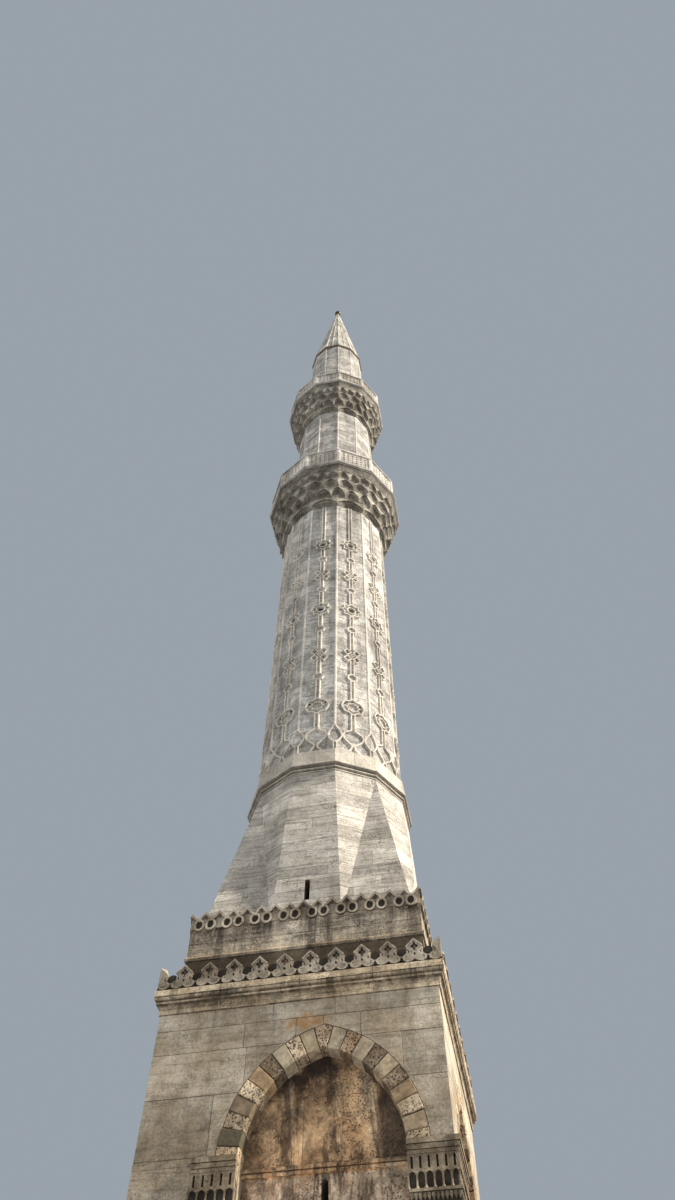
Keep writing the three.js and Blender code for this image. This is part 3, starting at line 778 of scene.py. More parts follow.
def wall_blocks(pile, face, rng, bottom, top, left=-FAR, right=FAR, arch=None, levels=None):
    """Blocks on the part of a base wall between limits."""
    half = WALL_HALF + PROUD - CORNER_GAP
    region = window(rectangle(-half, half, bottom, top), left, right)
    inner = [level for level in BASE_LEVELS if bottom + THINNEST_COURSE < level < top]
    courses(pile, face, region, levels or [bottom] + inner + [top], BLOCK_LENGTHS,
            WALL_HALF + PROUD, rng, arch)


def base_walls():
    """Walls around the arches, and the left wall around its doorway."""
    for side, centre in ARCH_CENTRES.items():
        rng, pile, face = Random(f"wall {side}"), Pile(), square_face(side)
        arch, jamb = base_arch(centre, ARCH_RING + JOINT / 2), ARCH_HALF + JAMB_WIDTH
        for limits in ((ARCH_SPRING, WALL_TOP, -FAR, FAR, arch),
                       (NICHE_SILL, ARCH_SPRING, -FAR, centre - jamb),
                       (NICHE_SILL, ARCH_SPRING, centre + jamb)):
            wall_blocks(pile, face, rng, *limits)
        wall_blocks(pile, face, rng, WALL_BOTTOM, NICHE_SILL, levels=[WALL_BOTTOM, 0.47, NICHE_SILL])
        piece(f"{side}_wall_blocks", pile, ashlar)
    rng, pile, face = Random(7), Pile(), square_face("left")
    door_top, _, _ = extent("base_wall_over_door")
    for limits in ((WALL_BOTTOM, door_top, -FAR, -DOOR_HALF), (WALL_BOTTOM, door_top, DOOR_HALF),
                   (door_top, WALL_TOP)):
        wall_blocks(pile, face, rng, *limits)
    piece("left_wall_blocks", pile, ashlar)


def niche_blocks():
    """Thin slabs of the niche's back, above and below the string course."""
    middle = 3.02
    for side, centre in ARCH_CENTRES.items():
        rng, pile, face = Random(f"niche {side}"), Pile(), square_face(side)
        arch = base_arch(centre, 0.02)
        angles = [arch.crown * i / 10 for i in range(11)]
        above = [(*arch.point(angle), False) for angle in angles]
        above += [(*arch.point(angle, -1), False) for angle in angles[-2::-1]]
        left, right, slit = centre - ARCH_HALF, centre + ARCH_HALF, SLIT_HALF * (side == "front")
        low, high = [NICHE_SILL, 1.16, 1.62, 2.1, 2.56, middle], [middle, STRING_BOTTOM]
        for region, levels, lengths in (
            (above, [ARCH_SPRING, 3.98, 4.4], (0.7, 1.0)),
            (rectangle(left, right, NICHE_SILL, middle), low, (0.5, 0.8)),
            (rectangle(left, centre - slit, *high), high, (0.6, 0.8)),
            (rectangle(centre + slit, right, *high), high, (0.6, 0.8)),
        ):
            courses(pile, face, region, levels, lengths, NICHE_BACK + PROUD, rng)
        piece(f"{side}_niche_blocks", pile, tympanum)


# Stones in each half of an arch, and half of the crown stone as a share of one
ARCH_STONES, KEY_SHARE = 10, 0.28
VOUSSOIR_GAP, VOUSSOIR_CHAMFER = 0.0022, 0.005
# From each foot to the crown, the tones of the porous stones and of the smooth ones between them
VOUSSOIR_TONES = {
    -1: ((0.75, 0.5, 0.95, 0.15, 1.0), (0.0, 0.22, 0.5, 0.9, 0.72)),
    1: ((0.5, 0.55, 0.2, 0.0, 0.7), (0.7, 0.42, 0.72, 0.85, 0.95)),
}
# Round moulding of a jamb: share of its radius at each height
JAMB_PROFILE = ((1, 0.70), (1, 0.79), (0.8, 0.80), (0.98, 0.82), (0.98, 0.84), (0.78, 0.855),
                (0.74, 3.1), (0.95, 3.12), (0.95, 3.15), (0.76, 3.165), (0.76, 3.45), (1, 3.52),
                (1, ARCH_SPRING))
# Bands of the string course: lower and upper share of its height, and reach
STRING_BANDS = ((0.0, 0.4, 0.030), (0.4, 0.55, 0.018), (0.55, 1.0, 0.034))


def arches():
    """Voussoirs that alternate between porous and smooth, the round mouldings of the jambs and
    the double string course of each niche."""
    back, out, radius = NICHE_BACK + 0.001, WALL_HALF + PROUD, JAMB_WIDTH / 2
    for side, centre in ARCH_CENTRES.items():
        rng, face = Random(f"arch {side}"), square_face(side)
        inner, outer = base_arch(centre), base_arch(centre, ARCH_RING)
        piles = Pile(), Pile()
        step = inner.crown / (ARCH_STONES + KEY_SHARE)
        gap = VOUSSOIR_GAP / inner.radius
        for hand, tones in VOUSSOIR_TONES.items():
            for i in range(ARCH_STONES):
                start, end = step * i + gap, step * (i + 1) - gap
                angles = [start + (end - start) * j / 2 for j in range(3)]
                stone_outline = [inner.point(angle, hand) for angle in reversed(angles)]
                stone_outline += [outer.point(angle, hand) for angle in angles]
                prism(piles[i % 2], face, stone_outline[::hand], out + rng.uniform(-0.002, 0.003),
                      back, VOUSSOIR_CHAMFER, tones[i % 2][i // 2])
        start = step * ARCH_STONES + gap
        right = [inner.point(start), outer.point(start)]
        key = [(centre, inner.top), *right, (centre, outer.top)]
        key += shifted(right[::-1], 2 * centre, 0, -1)
        prism(piles[0], face, key, out + 0.002, back, VOUSSOIR_CHAMFER, 0.8)
        piece(f"arch_{side}_porous", piles[0], porous, [f"arch_{side}"])
        piece(f"arch_{side}_smooth", piles[1], smooth)
        jambs, string = Pile(), Pile()
        axis = WALL_HALF - radius - 0.006
        for u in (centre - ARCH_HALF - radius, centre + ARCH_HALF + radius):
            backing = rectangle(u - radius, u + radius, NICHE_SILL, ARCH_SPRING)
            prism(jambs, face, backing, axis, back, 0.0, 0.8)
            profile = [(share * (radius - 0.002), height) for share, height in JAMB_PROFILE]
            lathe(jambs, face.at(u, 0, axis), profile, 20, 0.85)
        piece(f"arch_{side}_jambs", jambs, smooth)
        for *shares, reach in STRING_BANDS:
            levels = [STRING_BOTTOM + share * (ARCH_SPRING - STRING_BOTTOM) for share in shares]
            band = rectangle(centre - ARCH_HALF, centre + ARCH_HALF, *levels, True)
            prism(string, face, band, back + reach, back, 0.004, 0.5)
        piece(f"arch_{side}_string", string, tympanum)


# Carving of the capitals: fillets with their reach, a band of flutes, the heads of small niches,
# colonnettes and leaves. Niche heads and leaves are as wide as these shares of a flute's pitch.
CAPITAL_FILLETS = ((3.552, 3.585, 0.042), (3.520, 3.549, 0.035), (3.496, 3.518, 0.028))
FLUTE_PITCH, FLUTE_BAND = 0.058, (3.400, 3.497)
NICHE_HEAD = ((-0.36, 3.385), (-0.2, 3.392), (0, 3.397), (0.2, 3.392), (0.36, 3.385))
COLONNETTE = ((0.012, 3.30), (0.012, 3.312), (0.007, 3.318), (0.007, 3.378), (0.012, 3.386),
              (0.013, 3.392))
LEAF = ((-0.2, 3.284), (-0.22, 3.262), (0, 3.236), (0.22, 3.262), (0.2, 3.284))


def capital_face(pile, sunk, face, left, right, rng):
    """Carved face of a capital: fillets, flutes, small niches on colonnettes, and leaves."""
    base, inner = WALL_HALF, WALL_HALF - 0.01
    for low, high, reach in CAPITAL_FILLETS:
        prism(pile, face, rectangle(left, right, low, high), base + reach, inner, 0.0, 0.9)
    # Painted shade: a dark ground behind the flutes, niche heads and leaves.
    prism(sunk, face, rectangle(left, right, 3.23, 3.496), base + 0.004, inner)
    start, end = max(left, -WALL_HALF - 0.02), min(right, WALL_HALF + 0.02)
    count = round((end - start) / FLUTE_PITCH)
    pitch = (end - start) / count
    middles = [start + pitch * (i + 0.5) for i in range(count)]
    bottom, top = FLUTE_BAND
    half = 0.13 * pitch
    flutes = [[(m - half, bottom + 0.014), (m + half, bottom + 0.014)]
              + arc(m, top - 0.012 - half, half, half, 0, 180, 6) for m in middles]
    band = filled([rectangle(left, right, bottom, top)] + flutes, 0.022)
    set_plate(pile, band, face, 0, 0, base + 0.002, 0.8)
    line = [(left, NICHE_HEAD[0][1])]
    line += [(m + share * pitch, height) for m in middles for share, height in NICHE_HEAD]
    line += [(right, NICHE_HEAD[0][1]), (right, 3.399), (left, 3.399)]
    set_plate(pile, filled([line], 0.026), face, 0, 0, base + 0.002, 0.7)
    for i in range(count + 1):
        lathe(pile, face.at(start + pitch * i, 0, base + 0.015), COLONNETTE, 8, 1.0)
    prism(pile, face, rectangle(left, right, 3.285, 3.302), base + 0.029, inner, 0.0, 0.8)
    for m in middles:
        for u in (m - pitch / 4, m + pitch / 4):
            leaf = [(u + share * pitch, height) for share, height in LEAF]
            prism(pile, face, leaf, base + 0.022, base, 0.004, rng.random())


def capitals():
    """Carved capitals at the springing. Those on the right are folded around the corner."""
    right_foot, left_foot = (ARCH_CENTRES["front"] + half for half in (ARCH_HALF, -ARCH_HALF))
    around, low = 2 * WALL_HALF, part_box("capital_front_left")[0].x
    rng = Random(11)
    for name, parts in {
        "capital_front_right": (("front", right_foot, around), ("right", -around, -ARCH_HALF)),
        "capital_back_right": (("right", ARCH_HALF, around), ("back", -around, -right_foot)),
        "capital_front_left": (("front", low, left_foot),),
        "capital_back_left": (("back", -left_foot, -low),),
    }.items():
        pile, sunk = Pile(), Pile()
        for side, left, right in parts:
            capital_face(pile, sunk, square_face(side), left, right, rng)
        carved_piece(name, "carving", pile, sunk, dark_carved)


def cornice():
    inner = 0.62
    rise = [(0.010, 0), (0.014, 0.004), (0.014, 0.034), (0.010, 0.038), (0.012, 0.044)]
    rise += arc(0.044, 0.044, -0.030, 0.034, 10, 80, 5)
    rise += [(0.040, 0.080), (0.040, 0.092), (0.036, 0.095)]
    rise += arc(0.036, 0.118, 0.018, 0.020, -80, 30, 5)
    profile = [(inner, WALL_TOP)] + shifted(rise, WALL_HALF, WALL_TOP)
    profile += [(CORNICE_HALF, WALL_TOP + 0.132), (CORNICE_HALF, CORNICE_TOP - 0.003),
                (CORNICE_HALF - 0.004, CORNICE_TOP), (inner, CORNICE_TOP)]
    moulding_piece("cornice_stones", SQUARE, profile, 4, 13, moulding, "base_cornice")


# Crest of palmettes and frieze of peaks


PALMETTE_COUNT = 11


def palmette_outline(hands):
    """Palmette from its foot to its point, with both hands, or one where it folds at a corner."""
    right = [(0.0, 0.028)] + arc(0.048, 0.036, 0.043, 0.035, -150, 50, 10)
    right += [(0.050, 0.076), (0.040, 0.084), (0.038, 0.093), (0.062, 0.127), (0.064, 0.137),
              (0.0, 0.199)]
    left = shifted(right[::-1], 0, 0, -1)
    return {(1, -1): right + left[1:-1], (1,): right, (-1,): left}[hands]


def crest():
    """Pierced palmettes that stand on the cornice, with a hollow between each two that a dark plate
    fills as painted shade.
    """
    thickness = 0.040
    pitch = 2 * CREST_HALF / PALMETTE_COUNT
    base, front = CORNICE_TOP + LIFT, CREST_HALF - 0.001
    flower = []
    for turn in (math.radians(degrees) for degrees in range(0, 360, 15)):
        leaf = 0.78 + 0.22 * math.cos(4 * turn)
        flower.append((0.030 * leaf * math.cos(turn), 0.135 + 0.038 * leaf * math.sin(turn)))
    pierced = [flower, arc(0, 0.070, 0.009, 0.010, 0, 330, 11)]
    plates = {hands: filled([palmette_outline(hands)] + pierced[:2 * len(hands) - 2], thickness, 0.002)
              for hands in ((1, -1), (1,), (-1,))}
    gable = [(-0.060, 0.128), (-0.058, 0.136), (0.0, 0.192), (0.058, 0.136), (0.060, 0.128)]
    lobe = arc(0.048, 0.036, 0.036, 0.028, -165, 60, 12)
    curl = arc(pitch / 2, 0.098, 0.044, 0.042, 165, 375, 14)
    web = arc(pitch / 2, 0.098, 0.042, 0.040, 0, 345, 23)
    for side in QUARTER_TURNS:
        rng, face = Random(f"crest {side}"), square_face(side)
        pile, sunk = Pile(), Pile()
        for k in range(PALMETTE_COUNT + 1):
            u = -CREST_HALF + pitch * k
            hands = (1,) if k == 0 else (-1,) if k == PALMETTE_COUNT else (1, -1)
            set_plate(pile, plates[hands], face, u, base, front - thickness, rng.uniform(0.3, 0.8))
            lines = [(lobe, hand, 0.012, -0.004, 0.008) for hand in hands]
            if len(hands) == 2:
                lines.insert(0, (gable, 1, 0.011, -0.004, 0.008))
            if 1 in hands:
                lines.append((curl, 1, 0.013, -0.032, -0.010))
                # Painted shade: a dark plate behind each curl.
                prism(sunk, face, shifted(web, u, base), front - 0.022, front - 0.036)
            for line, hand, width, low, high in lines:
                strip(pile, face, shifted(line, u, base, hand), width, front + low, front + high,
                      tone=1.0, top=0.5)
        # Painted shade: a dark plate behind the feet of the palmettes.
        foot = rectangle(-CREST_HALF, CREST_HALF, base, base + 0.034)
        prism(sunk, face, foot, front - 0.014, front - thickness + 0.002)
        carved_piece(f"crest_{side}", "palmettes", pile, sunk, carved)


FRIEZE_COUNT = 16
# Levels of the frieze's rings and of its band, between the peaks and beside them
RING_LEVEL, VALLEY, SHOULDER = 5.458, 5.508, 5.527


def frieze():
    """Band that rises and falls in small peaks, with a ring hanging from each valley, dark inside with
    painted shade.
    """
    pitch = 2 * FRIEZE_HALF / FRIEZE_COUNT
    bottom, peak = TIER_TOP + LIFT, FRIEZE_TOP - 0.001
    near, half_peak, ribbon, front = 0.049, 0.040, 0.017, FRIEZE_HALF
    ring_half, ring_drop = 0.0375, 0.046
    ground, holes, middles = [], [], []
    for k in range(FRIEZE_COUNT + 1):
        u = -FRIEZE_HALF + pitch * k
        if k > 0:
            ground.append((u - half_peak, SHOULDER))
            holes.append([(u - 0.012, 5.520), (u - 0.001, 5.520), (u - 0.001, 5.546)])
        ground.append((u, peak))
        if k < FRIEZE_COUNT:
            middles.append(u + (near if k % 2 else pitch - near))
            ground += [(u + half_peak, SHOULDER), (middles[-1], VALLEY)]
            holes.append([(u + 0.001, 5.520), (u + 0.012, 5.520), (u + 0.001, 5.546)])
    band = [(u, v - (0.012 if v == peak else 0.008)) for u, v in ground]
    outline = [(-FRIEZE_HALF, bottom), (FRIEZE_HALF, bottom)] + ground[::-1]
    plate = filled([outline] + holes, 0.020)
    for side in QUARTER_TURNS:
        face = square_face(side)
        pile, sunk = Pile(), Pile()
        set_plate(pile, plate, face, 0, 0, front - 0.020, 0.45)
        # Painted shade: dark plates behind the band, inside each ring and on the wall below it.
        backing = rectangle(-FRIEZE_HALF, FRIEZE_HALF, bottom, SHOULDER + 0.022)
        prism(sunk, face, backing, front - 0.021, front - 0.058)
        for middle in middles:
            bowl = arc(middle, RING_LEVEL, ring_half, ring_drop, -180, 165, 23)
            upper = [(u, max(v, bottom + 0.0006)) for u, v in bowl]
            prism(sunk, face, upper, front + 0.0016, front - 0.01)
            lower = [(u, min(v, bottom - 0.0006)) for u, v in bowl[:13]]
            prism(sunk, face, lower, TIER_HALF + PROUD + 0.0016, TIER_HALF - 0.004)
            ring = arc(middle, RING_LEVEL, ring_half, ring_drop, 0, 345, 23)
            strip(pile, face, ring, ribbon, front - 0.008, front + 0.016, True, 1.0, top=0.55)
        strip(pile, face, band, ribbon, front - 0.008, front + 0.019, tone=1.0, top=0.55)
        carved_piece(f"frieze_{side}", "carving", pile, sunk, carved)


def upper_storey():
    rng = Random(17)
    outer = TIER_HALF + PROUD
    half = outer - CORNER_GAP
    low, high = TIER_STRING
    band, wall, string = Pile(), Pile(), Pile()
    for side in QUARTER_TURNS:
        for pile, levels, lengths in ((band, (TIER_BOTTOM, 4.97, low), (0.5, 0.8)),
                                      (wall, (high, 5.285, TIER_TOP), (0.5, 0.9))):
            region = rectangle(-half, half, levels[0], levels[-1])
            courses(pile, square_face(side), region, levels, lengths, outer, rng)
    profile = [(-0.02, 0), (0.002, 0), (0.004, 0.016), (0.016, 0.020), (0.018, 0.024),
               (0.018, 0.034), (0.014, 0.040), (-0.02, 0.040)]
    run(string, SQUARE, shifted(profile, TIER_HALF, low), 3, rng)
    piece("upper_base_band_blocks", band, painted_shade_band_stone)
    piece("upper_base_blocks", wall, tier_stone)
    piece("upper_base_string", string, moulding)


# Transition to twelve sides


def hull(points):
    """Convex outline around flat points, turning left."""
    ordered = sorted(set(points))
    outline = []
    for sequence in (ordered, ordered[::-1]):
        chain = []
        for point in sequence:
            while len(chain) > 1 and area([chain[-2], chain[-1], point]) <= 5e-10:
                chain.pop()
            chain.append(point)
        outline += chain[:-1]
    return outline


def shoe_faces():
    """The flat outer faces of the shoe: for each a plane and its outline in that plane."""
    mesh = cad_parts["shoe"].data
    groups = {}
    for polygon in mesh.polygons:
        normal, centre = polygon.normal, polygon.center
        if abs(normal.z) < 0.9 and normal.x * centre.x + normal.y * centre.y > 0.3:
            key = (*(round(c, 2) for c in normal), round(normal.dot(centre), 2))
            groups.setdefault(key, []).append(polygon)
    for _, group in sorted(groups.items()):
        normal = group[0].normal.copy()
        across = Vector((0, 0, 1)).cross(normal).normalized()
        up = normal.cross(across)
        if up.z < 0:
            across, up = -across, -up
        origin = normal * normal.dot(group[0].center)
        corners = [mesh.vertices[i].co - origin for polygon in group for i in polygon.vertices]
        outline = hull([(round(c.dot(across), 5), round(c.dot(up), 5)) for c in corners])
        yield Face(origin, across, up, normal), outline


def shoe():
    """Courses on each face of the shoe, around the slit window in front."""
    rng, pile = Random(19), Pile()
    slit_levels = 5.65, 5.868
    for face, outline in shoe_faces():
        region = [(u, v, False) for u, v in outline]
        lean = face.up[2]
        heights = [v for _, v in outline]
        levels = even_levels(min(heights), max(heights), 0.15 / lean, Random(23), 0.2)
        parts = [region]
        if abs(face.out[0]) < 0.05 and face.out[1] < -0.5:
            low, high = ((level - face.origin[2]) / lean for level in slit_levels)
            beside = window(region, low=low, high=high)
            parts = [window(region, high=low), window(beside, right=-SLIT_HALF),
                     window(beside, left=SLIT_HALF), window(region, low=high)]
        for part in parts:
            courses(pile, face, part, levels, (0.2, 0.5), PROUD, rng, None, 0.001, 0.0016)
    piece("shoe_blocks", pile, shoe_stone)


def ring_moulding():
    """Broad smooth band over an overhanging edge with a dark hollow, a bead and a second hollow."""
    rise = [(0.46, 0), (0.808, 0), (0.815, 0.004), (0.815, 0.016), (0.801, 0.020), (0.801, 0.030)]
    rise += arc(0.816, 0.046, 0.013, 0.013, -80, 90, 6)
    rise += [(0.804, 0.061), (0.804, 0.078), (0.844, 0.084), (0.848, 0.090), (0.848, 0.104),
             (0.842, 0.114), (0.826, 0.124), (0.824, 0.130)]
    profile = shifted(rise, 0, RING_BOTTOM)
    profile += [(0.824, RING_TOP - 0.006), (0.818, RING_TOP), (0.46, RING_TOP)]
    moulding_piece("shaft_ring_stones", SIDES, profile, 2, 29, ring_stone, "shaft_ring")


# Shafts


# Doorways to the balconies: half width, and rise and height of their arch
BALCONY_DOOR_HALF, BALCONY_DOOR_RISE, BALCONY_DOOR_TOP = 0.14, 0.175, 0.9


def balcony_door(bottom):
    spring = bottom + BALCONY_DOOR_TOP - BALCONY_DOOR_RISE
    return Arch(0.0, BALCONY_DOOR_HALF, BALCONY_DOOR_RISE, spring)


def shaft_blocks(name, apothem, bottom, top, seed, door=None):
    """Courses on the twelve sides of a shaft, cut back from a doorway at the back."""
    rng, pile = Random(seed), Pile()
    outer = apothem + PROUD
    half = outer * HALF_SIDE - CORNER_GAP / 2
    levels = even_levels(bottom, top, 0.24, rng)
    for k in range(SIDES):
        courses(pile, tower_face(k), rectangle(-half, half, bottom, top), levels, (0.3, 0.5), outer,
                rng, door if k == SIDES // 2 else None, 0.0015, 0.0022)
    piece(name, pile, shaft_stone)


def pinched_oval(w, h, notch):
    """Pointed oval with pinched flanks."""
    quarter = [(0, h), (0.35 * w, 0.72 * h), (0.72 * w, 0.66 * h), (notch * w, 0.30 * h), (w, 0.0)]
    right = quarter + [(a, -b) for a, b in quarter[-2::-1]]
    return right + [(-a, b) for a, b in right[-2:0:-1]]


def diamond(u, v, w, h):
    return [(u, v + h), (u + w, v), (u, v - h), (u - w, v)]


def star():
    reaches = [0.135 if i % 2 == 0 else 0.098 for i in range(16)]
    return [(reach * math.sin(math.pi * i / 8), 1.1 * reach * math.cos(math.pi * i / 8))
            for i, reach in enumerate(reaches)]


# Carved motifs: reach up and down, closed lines with their widths, and drilled holes, which are
# their place from the middle on both sides and their size
MOTIFS = {
    "ring": (0.065, [(pinched_oval(0.058, 0.065, 0.86), 0.022)], ()),
    "oval": (
        0.135,
        [(pinched_oval(0.132, 0.132, 0.9), 0.025),
         (shifted(pinched_oval(0.082, 0.074, 0.6), 0, -0.010), 0.014)],
        ((0.092, 0.054, 0.014), (0.062, 0.078, 0.010), (0.0, 0.092, 0.009)),
    ),
    "cross": (
        0.12,
        [(diamond(u, v, 0.046, 0.056), 0.020) for u in (-0.058, 0.058) for v in (-0.064, 0.064)]
        + [(diamond(0, 0, 0.022, 0.026), 0.015)],
        ((0.060, -0.066, 0.010), (0.060, 0.066, 0.010)),
    ),
    "rosette": (
        0.15,
        [(star(), 0.021), (arc(0, 0, 0.056, 0.062, 0, 330, 11), 0.018)],
        ((0.0, 0.0, 0.034), (0.082, 0.030, 0.010), (0.060, -0.076, 0.009), (0.0, 0.104, 0.009)),
    ),
}
# Motifs up the middle of each side of the lower shaft
MOTIF_HEIGHTS = (("oval", 8.335), ("ring", 8.86), ("cross", 9.29), ("ring", 9.83),
                 ("rosette", 10.27), ("ring", 10.75), ("cross", 11.12), ("ring", 11.55),
                 ("rosette", 11.97))
RELIEF_FOOT = 7.95
DOUBLE_LINE = (-0.021, 0.021)


def shaft_relief():
    """Interlace at the foot, ribs on the corners and a chain of motifs on each side."""
    pile, drilled = Pile(), Pile()
    base = SHAFT_APOTHEM + PROUD
    half = base * HALF_SIDE
    foot, top = RING_TOP + 0.004, SHAFT_TOP - 0.01
    loop = [(0.021, RELIEF_FOOT + 0.02), (0.026, RELIEF_FOOT - 0.01), (0.058, 7.915),
            (0.098, 7.892), (0.118, 7.850), (0.104, 7.800), (0.062, 7.750), (0.022, 7.715),
            (0.014, 7.690), (0.026, 7.650), (0.060, 7.610), (0.075, foot)]
    corner = [(half, 7.975), (half - 0.022, 7.938), (half - 0.050, 7.905), (0.134, 7.862),
              (0.128, 7.828), (0.142, 7.786), (half - 0.022, 7.722), (half, 7.700)]
    edge = [(half - 0.014, 7.700), (half - 0.014, foot)]
    lines = [(shifted(line, 0, 0, hand), width, False) for hand in (-1, 1)
             for line, width in ((loop, 0.029), (corner, 0.029), (edge, 0.016))]
    holes = []
    start = RELIEF_FOOT + 0.01
    for kind, v in MOTIF_HEIGHTS:
        reach, motif, drills = MOTIFS[kind]
        lines += [([(u, start), (u, v - reach + 0.012)], 0.020, False) for u in DOUBLE_LINE]
        lines += [(shifted(line, 0, v), width, True) for line, width in motif]
        holes += [arc(hand * u, v + height, size, 1.1 * size, 0, 315, 7)
                  for u, height, size in drills for hand in ((-1, 1) if u else (1,))]
        start = v + reach - 0.012
    lines += [([(u, start), (u, top)], 0.018, False) for u in DOUBLE_LINE]
    for k in range(SIDES):
        face = tower_face(k)
        for line, width, closed in lines:
            strip(pile, face, line, width, base - 0.006, base + 0.022, closed, 0.9, 0.3)
        for hole in holes:
            # Painted shade: each drilled hole is a dark disc that stands on the face, not a cut.
            prism(drilled, face, hole, base + 0.003, base - 0.004, 0.0, 0.2)
        corner_rib(pile, k, base, RELIEF_FOOT + 0.02, top, 0.032, 0.007)
    piece("lower_shaft_relief", pile, relief_stone)
    piece("lower_shaft_hole_shade", drilled, hollow)


def corner_rib(pile, k, apothem, bottom, top, width, height):
    """Raised rib on a corner of the shaft."""
    right = [(0.12 * width, height), (0.36 * width, 0.6 * height),
             (0.5 * width, -0.5 * width * HALF_SIDE - 0.002)]
    section = shifted(right[::-1], 0, 0, -1) + right + [(0, -0.03)]
    corner_bar(pile, k, section, 0.9, (apothem, bottom, 1), (apothem, top, 1))


# Side of the upper shaft with pale courses, and the middle heights of these
PALE_SIDE, PALE_COURSES = 11, (16.62, 16.87)


def upper_ribs():
    """Ribs on the corners of the upper shaft and drum, and the pale courses on one side."""
    pile = Pile()
    base = UPPER_APOTHEM + PROUD
    half = base * HALF_SIDE - 0.02
    for level in PALE_COURSES:
        strip(pile, tower_face(PALE_SIDE), [(-half, level), (half, level)], 0.06, base - 0.005,
              base + 0.003, tone=1.0, top=0.9)
    for k in range(SIDES):
        corner_rib(pile, k, base, UPPER_BOTTOM + 0.02, UPPER_TOP - 0.14, 0.030, 0.008)
        corner_rib(pile, k, DRUM_APOTHEM + PROUD, DRUM_BOTTOM + 0.02, DRUM_TOP - 0.02, 0.022, 0.006)
    piece("upper_ribs", pile, relief_stone)


# Balconies


# Pendant between two niches: radius, and height as a share of its drop
PENDANT = ((0.003, -0.75), (0.011, -0.6), (0.008, -0.4), (0.014, -0.1), (0.014, 0.3))


def muqarnas_tier(pile, cells, phase, bottom, top, core, inner, outer, rng):
    """One tier of deep niches, darkened by painted shade, under pale pointed hoods that step outwards.
    """
    columns, hollow_rows, hood_rows = 6, 5, 3
    width = 2 * math.pi / cells
    side = 2 * math.pi / SIDES

    def at(angle, apothem, part):
        radius = apothem / math.cos((angle + side / 2) % side - side / 2)
        return radius * math.cos(angle), radius * math.sin(angle), bottom + part * (top - bottom)

    for cell in range(cells):
        middle = math.radians(FRONT) + width * (cell + phase)
        hood = rng.uniform(0.6, 1.0)
        rings, tones = [], []
        for i in range(-columns, columns + 1):
            across = abs(i / columns)
            arch, depth = 0.16 + 0.70 * (1 - across ** 1.5), 1 - across ** 3
            section = [(core, 0.0)]
            for part in (j / hollow_rows for j in range(hollow_rows + 1)):
                reach = 0.45 * part ** 3 * depth + (1 - depth) * (0.35 + 0.4 * part)
                reach -= 0.4 * depth * (1 - part)
                section.append((inner + (outer - inner) * reach, part * arch))
            for part in (arch + (0.93 - arch) * j / hood_rows for j in range(hood_rows + 1)):
                section.append((inner + (outer - inner) * (0.76 + 0.2 * part), part))
            section += [(outer + 0.006, 0.94), (outer + 0.006, 1.0), (core, 1.0)]
            angle = middle + i / columns * width / 2
            rings.append([at(angle, *point) for point in section])
            # Painted shade: the tone falls towards the middle of each niche, so the hollow is darker
            # there.
            tones += [hood * (1 - depth) + 0.05 * depth] * (hollow_rows + 1)
            tones += [hood] * (hood_rows + 5)
        pile.loft(rings, tones)
        x, y, z = at(middle + width / 2, inner + (outer - inner) * 0.62, 0.16)
        drop = 0.26 * (top - bottom)
        lathe(pile, (x, y), [(radius, z + drop * share) for radius, share in PENDANT], 8, hood)


# Tiers of a corbel from the bottom: niches around it, shift by parts of a niche, share of its height
CORBEL_TIERS = ((12, 0.0, 0.22), (24, 0.0, 0.24), (24, 0.5, 0.20), (36, 0.0, 0.17))


def corbel(node, floor, shaft, seed):
    """Tiers of niches under a plain cove, from the shaft's apothem to the floor's."""
    rng, pile = Random(seed), Pile()
    bottom, top, _ = extent(node)
    core, spread, height = shaft - 0.1, floor - shaft, top - bottom
    start = 0.0
    for cells, phase, share in CORBEL_TIERS:
        inner, outer = (shaft + spread * part ** 0.9 for part in (start, start + share * 0.96))
        low, high = (bottom + height * part for part in (start, start + share))
        muqarnas_tier(pile, cells, phase, low, high, core, inner + 0.002, outer, rng)
        start += share
    cove, reach = bottom + height * start, shaft + spread * start ** 0.9
    profile = [(core - 0.2, cove), (reach, cove)]
    profile += [(reach + (floor - 0.012 - reach) * part ** 1.6,
                 cove + height * (1 - start) * part * 0.9) for part in (0.2, 0.4, 0.6, 0.8, 1.0)]
    profile += [(floor - 0.004, top - 0.012), (floor - 0.004, top), (core - 0.2, top)]
    # Painted shade: the cove under the floor takes a low tone, so it is darker.
    run(pile, SIDES, profile, 1, rng, tone=0.1)
    inside = [(core - 0.2, bottom), (core + 0.01, bottom), (core + 0.01, cove), (core - 0.2, cove)]
    # Painted shade: the ring against the core takes the lowest tone.
    run(pile, SIDES, inside, 1, rng, tone=0.0)
    piece(f"{node}_muqarnas", pile, soot_and_shade_stone, [node])


def balcony_floor(node, inner, seed):
    bottom, top, outer = extent(node)
    edge = [(-0.022, 0), (-0.020, 0.008), (-0.006, 0.018), (0, 0.028)]
    profile = [(inner, bottom)] + shifted(edge, outer, bottom)
    profile += [(outer, top - 0.006), (outer - 0.005, top), (inner, top)]
    moulding_piece(f"{node}_slabs", SIDES, profile, 1, seed, parapet_stone, node)


PANEL_ROWS = 5


